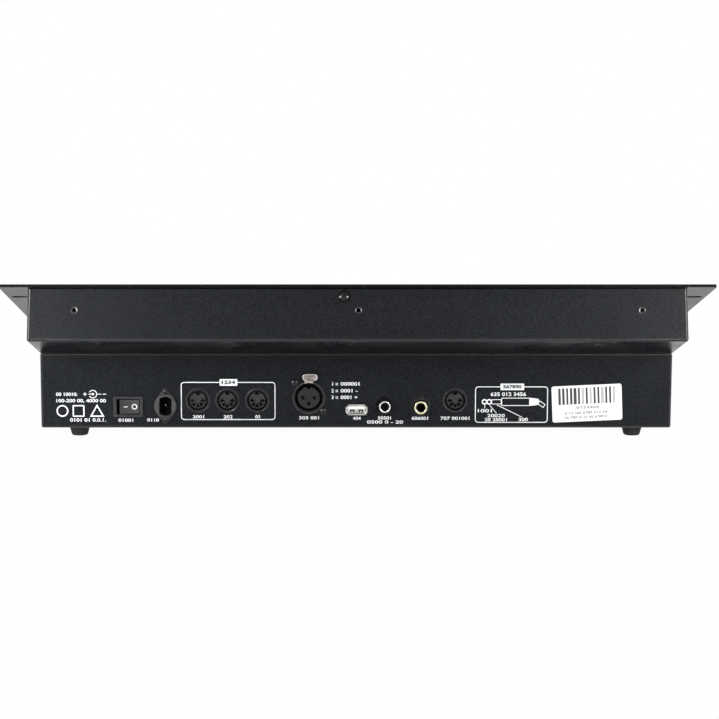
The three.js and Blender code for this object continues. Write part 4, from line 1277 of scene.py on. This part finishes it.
CAPTION_HEIGHT = 2.3
CAPTIONS = (
    ("01001", 10.4, -162.9, 4.8),
    ("0110", 8.2, -143.6, 5),
    ("2001", 8, -111.5, 7.3),
    ("202", 6.4, -90.5, 7.3),
    ("03", 3.5, -69.6, 7.3),
    ("303 001", 14.1, -33.3, 6.5),
    ("404", 5.6, 0.5, 6.2),
    ("50501", 9.2, 20, 6.4),
    ("0500 0 - 20", 25.5, 20.5, 3.5),
    ("606001", 11.6, 45.1, 6.2),
    ("707 001001", 20.5, 70, 6.2),
)
LEGEND = ((30.8, "000001", 13.4), (25.9, "0001 -", 12), (21.2, "0001 +", 12))
SIGN_V = 23.6
SIGN_STROKES = ((-192.7, -190.3), (-189, -186.4), (-182.9, -180), (-178.9, -176.6))
SIGN_CENTRE = -185.9
REAR_TABS = (("1234", 9.6, 12.6, 4.8, -90.1, 31.95), ("567890", 13, 16.7, 4.7, 110.2, 28.8))
PLUG_V = 18.1
STICKER = (163.1, 17.2)
STICKER_SIZE = (49.4, 25.8)
STICKER_TURN = 2.65
STICKER_THICKNESS = 0.12
STRIPES = 15
STRIPE_PITCH = 2.75


def fitted(words, width, height, u, v, bold=0.03):
    """Characters stretched to a printed width, around a point of the rear face."""
    shape = lettering(words, height, bold=bold)
    ends = [pick(vert.co.x for vert in shape.verts) for pick in (min, max)]
    share = width / (ends[1] - ends[0])
    spread = Matrix.Diagonal((share, 1, 1, 1)) @ at(-sum(ends) / 2, 0, 0)
    return moved(shape, at(u, v) @ spread)


def contact_legend():
    """Which contact of the round three-pin socket is which."""
    rows = []
    for i, (v, words, width) in enumerate(LEGEND):
        rows.append(lettering(str(i + 1), 2.5, at(-16.6, v)))
        rows += [line((-14.5, v + rise), (-12.7, v + rise)) for rise in (0.45, -0.55)]
        rows.append(fitted(words, width, 2.5, -11.0 + width / 2, v, 0.04))
    printed("contact_legend", rows)


def polarity_sign():
    """A minus, an open cup round a dot, and a plus, joined by strokes."""
    cup = [*arc(3, -150, 150, 28), *reversed(arc(2.4, -150, 150, 28))]
    strokes = [line((start, SIGN_V), (end, SIGN_V)) for start, end in SIGN_STROKES]
    upright = line((-191.5, SIGN_V - 1.2), (-191.5, SIGN_V + 1.2))
    dot = circle(0.9, 24)
    middle = [moved(prism(outline, 0, INK), at(SIGN_CENTRE, SIGN_V)) for outline in (dot, cup)]
    return [*strokes, upright, *middle]


def rating_prints():
    """Plain numbers, the polarity sign and three plain marks at the left end."""
    square = ring(rounded(8.4, 8.4, 0.6), rounded(6.6, 6.6, 0.3), 0, INK)
    triangle = ring(circle(6, 3, 90), circle(4.1, 3, 90), 0, INK)
    printed("rating_prints", [
        fitted("00 10010:", 15, 2.4, -204.4, 23.4),
        fitted("100-200 00, 4000 00", 35, 2.4, -194.3, 18.8),
        fitted("0101 01 0.0.1.", 25.4, 2.5, -189.6, 5),
        *polarity_sign(),
        printed_ring(4.2, 0.9, -207.6, 11.6),
        moved(square, at(-196.2, 11.6)),
        moved(triangle, at(-183.1, 10.4)),
    ])


def group_prints():
    corners = (((-123.8, 5.1), (-57, 32.3)), ((84, 3.1), (135.5, 29.1)))
    printed("rear_group_frames", [printed_frame(low, high, 2.4, 0.62) for low, high in corners])
    tabs = [printed_tab(width, height, 0.5, u, v) for _, _, width, height, u, v in REAR_TABS]
    printed("rear_tabs", tabs, PRINTS @ at(0, 0, INK))
    digits = [fitted(words, width, 2.4, u, v, 0.06) for words, width, _, _, u, v in REAR_TABS]
    printed("rear_tab_digits", digits, PRINTS @ at(0, 0, 2 * INK), "dark_ink")


def plug_drawing():
    """A three-part plug in outline with leaders to its numbered contacts."""
    v = PLUG_V
    tail = [(0, -2.9), (4.6, -2.4), (6.4, -1.8), (6.4, 1.8), (4.6, 2.4), (0, 2.9)]
    printed("plug_drawing", [
        fitted("635 012 3456", 25, 2.6, 107.5, 23.4),
        printed_ring(2, 0.95, 90.7, v),
        printed_ring(2, 0.95, 94, v),
        printed_frame((95.6, v - 1.8), (102.7, v + 1.8), 0.4, 0.5),
        printed_frame((102.6, v - 2.9), (122.8, v + 2.9), 0.4, 0.5),
        moved(prism(tail, 0, INK), at(122.8, v)),
        moved(printed_frame((0, -1.5), (5.2, 1.5), 0.3, 0.5), at(128.8, v - 0.2, 0, -35)),
        line((90.9, v - 2.2), (90.9, 13.4), 0.45),
        line((94.2, v - 2.2), (99.2, 10), 0.45),
        line((99.5, v - 2.2), (117.5, 7)),
        fitted("1001", 10, 2.4, 91, 11.6),
        fitted("20020", 12.4, 2.4, 99, 8.1),
        fitted("20 20001", 15.8, 2.4, 98.8, 5.2),
        fitted("300", 6.6, 2.4, 118.2, 5.3),
    ])


def sticker():
    """A label with stripes of its own and greyed lines, stuck on slightly askew."""
    chance = random.Random(7)
    place = PRINTS @ at(*STICKER, 0, STICKER_TURN)
    paper = soften(prism(rounded(*STICKER_SIZE, 1.5), 0, STICKER_THICKNESS), 0.03)
    piece("label", paper, place, "paper")
    shades = {"dark_ink": [], "middle_ink": [], "grey_ink": []}
    for i in range(STRIPES):
        u = (i - (STRIPES - 1) / 2) * STRIPE_PITCH
        width = chance.choice((1.4, 1.7, 2.1))
        shade = chance.choice(("dark_ink", "dark_ink", "middle_ink", "grey_ink"))
        shades[shade].append(block((u - width / 2, -0.5, 0), (u + width / 2, 11.2, INK)))
    shades["middle_ink"] += [
        fitted("0123456", 16.5, 1.7, 0.5, -3),
        fitted("0 12 345 6789 012 34", 30, 1.8, -1, -6.8),
        fitted("56 789 0123 45 6789 0", 30, 1.8, -1, -9.9),
    ]
    face = place @ at(0, 0, STICKER_THICKNESS)
    for shade, shapes in shades.items():
        printed(f"label_{shade.replace('ink', 'stripes')}", shapes, face, shade)


# Everything in place

camera()
sky()
floor()
lights()
housing()
feet()
for din in nodes_named("din_socket"):
    din_socket(din)
xlr_socket()
usb_socket()
phono_socket()
quarter_inch_socket()
dc_inlet()
power_switch()
fader_caps()
joystick()
key_lamps()
panel_screws()
panel_prints()
arrows()
display()
printed("socket_numbers", [fitted(words, width, CAPTION_HEIGHT, u, v) for words, width, u, v in CAPTIONS])
contact_legend()
rating_prints()
group_prints()
plug_drawing()
sticker()
bottom_screws()
keep_the_rest()

scene.view_settings.view_transform = "Standard"
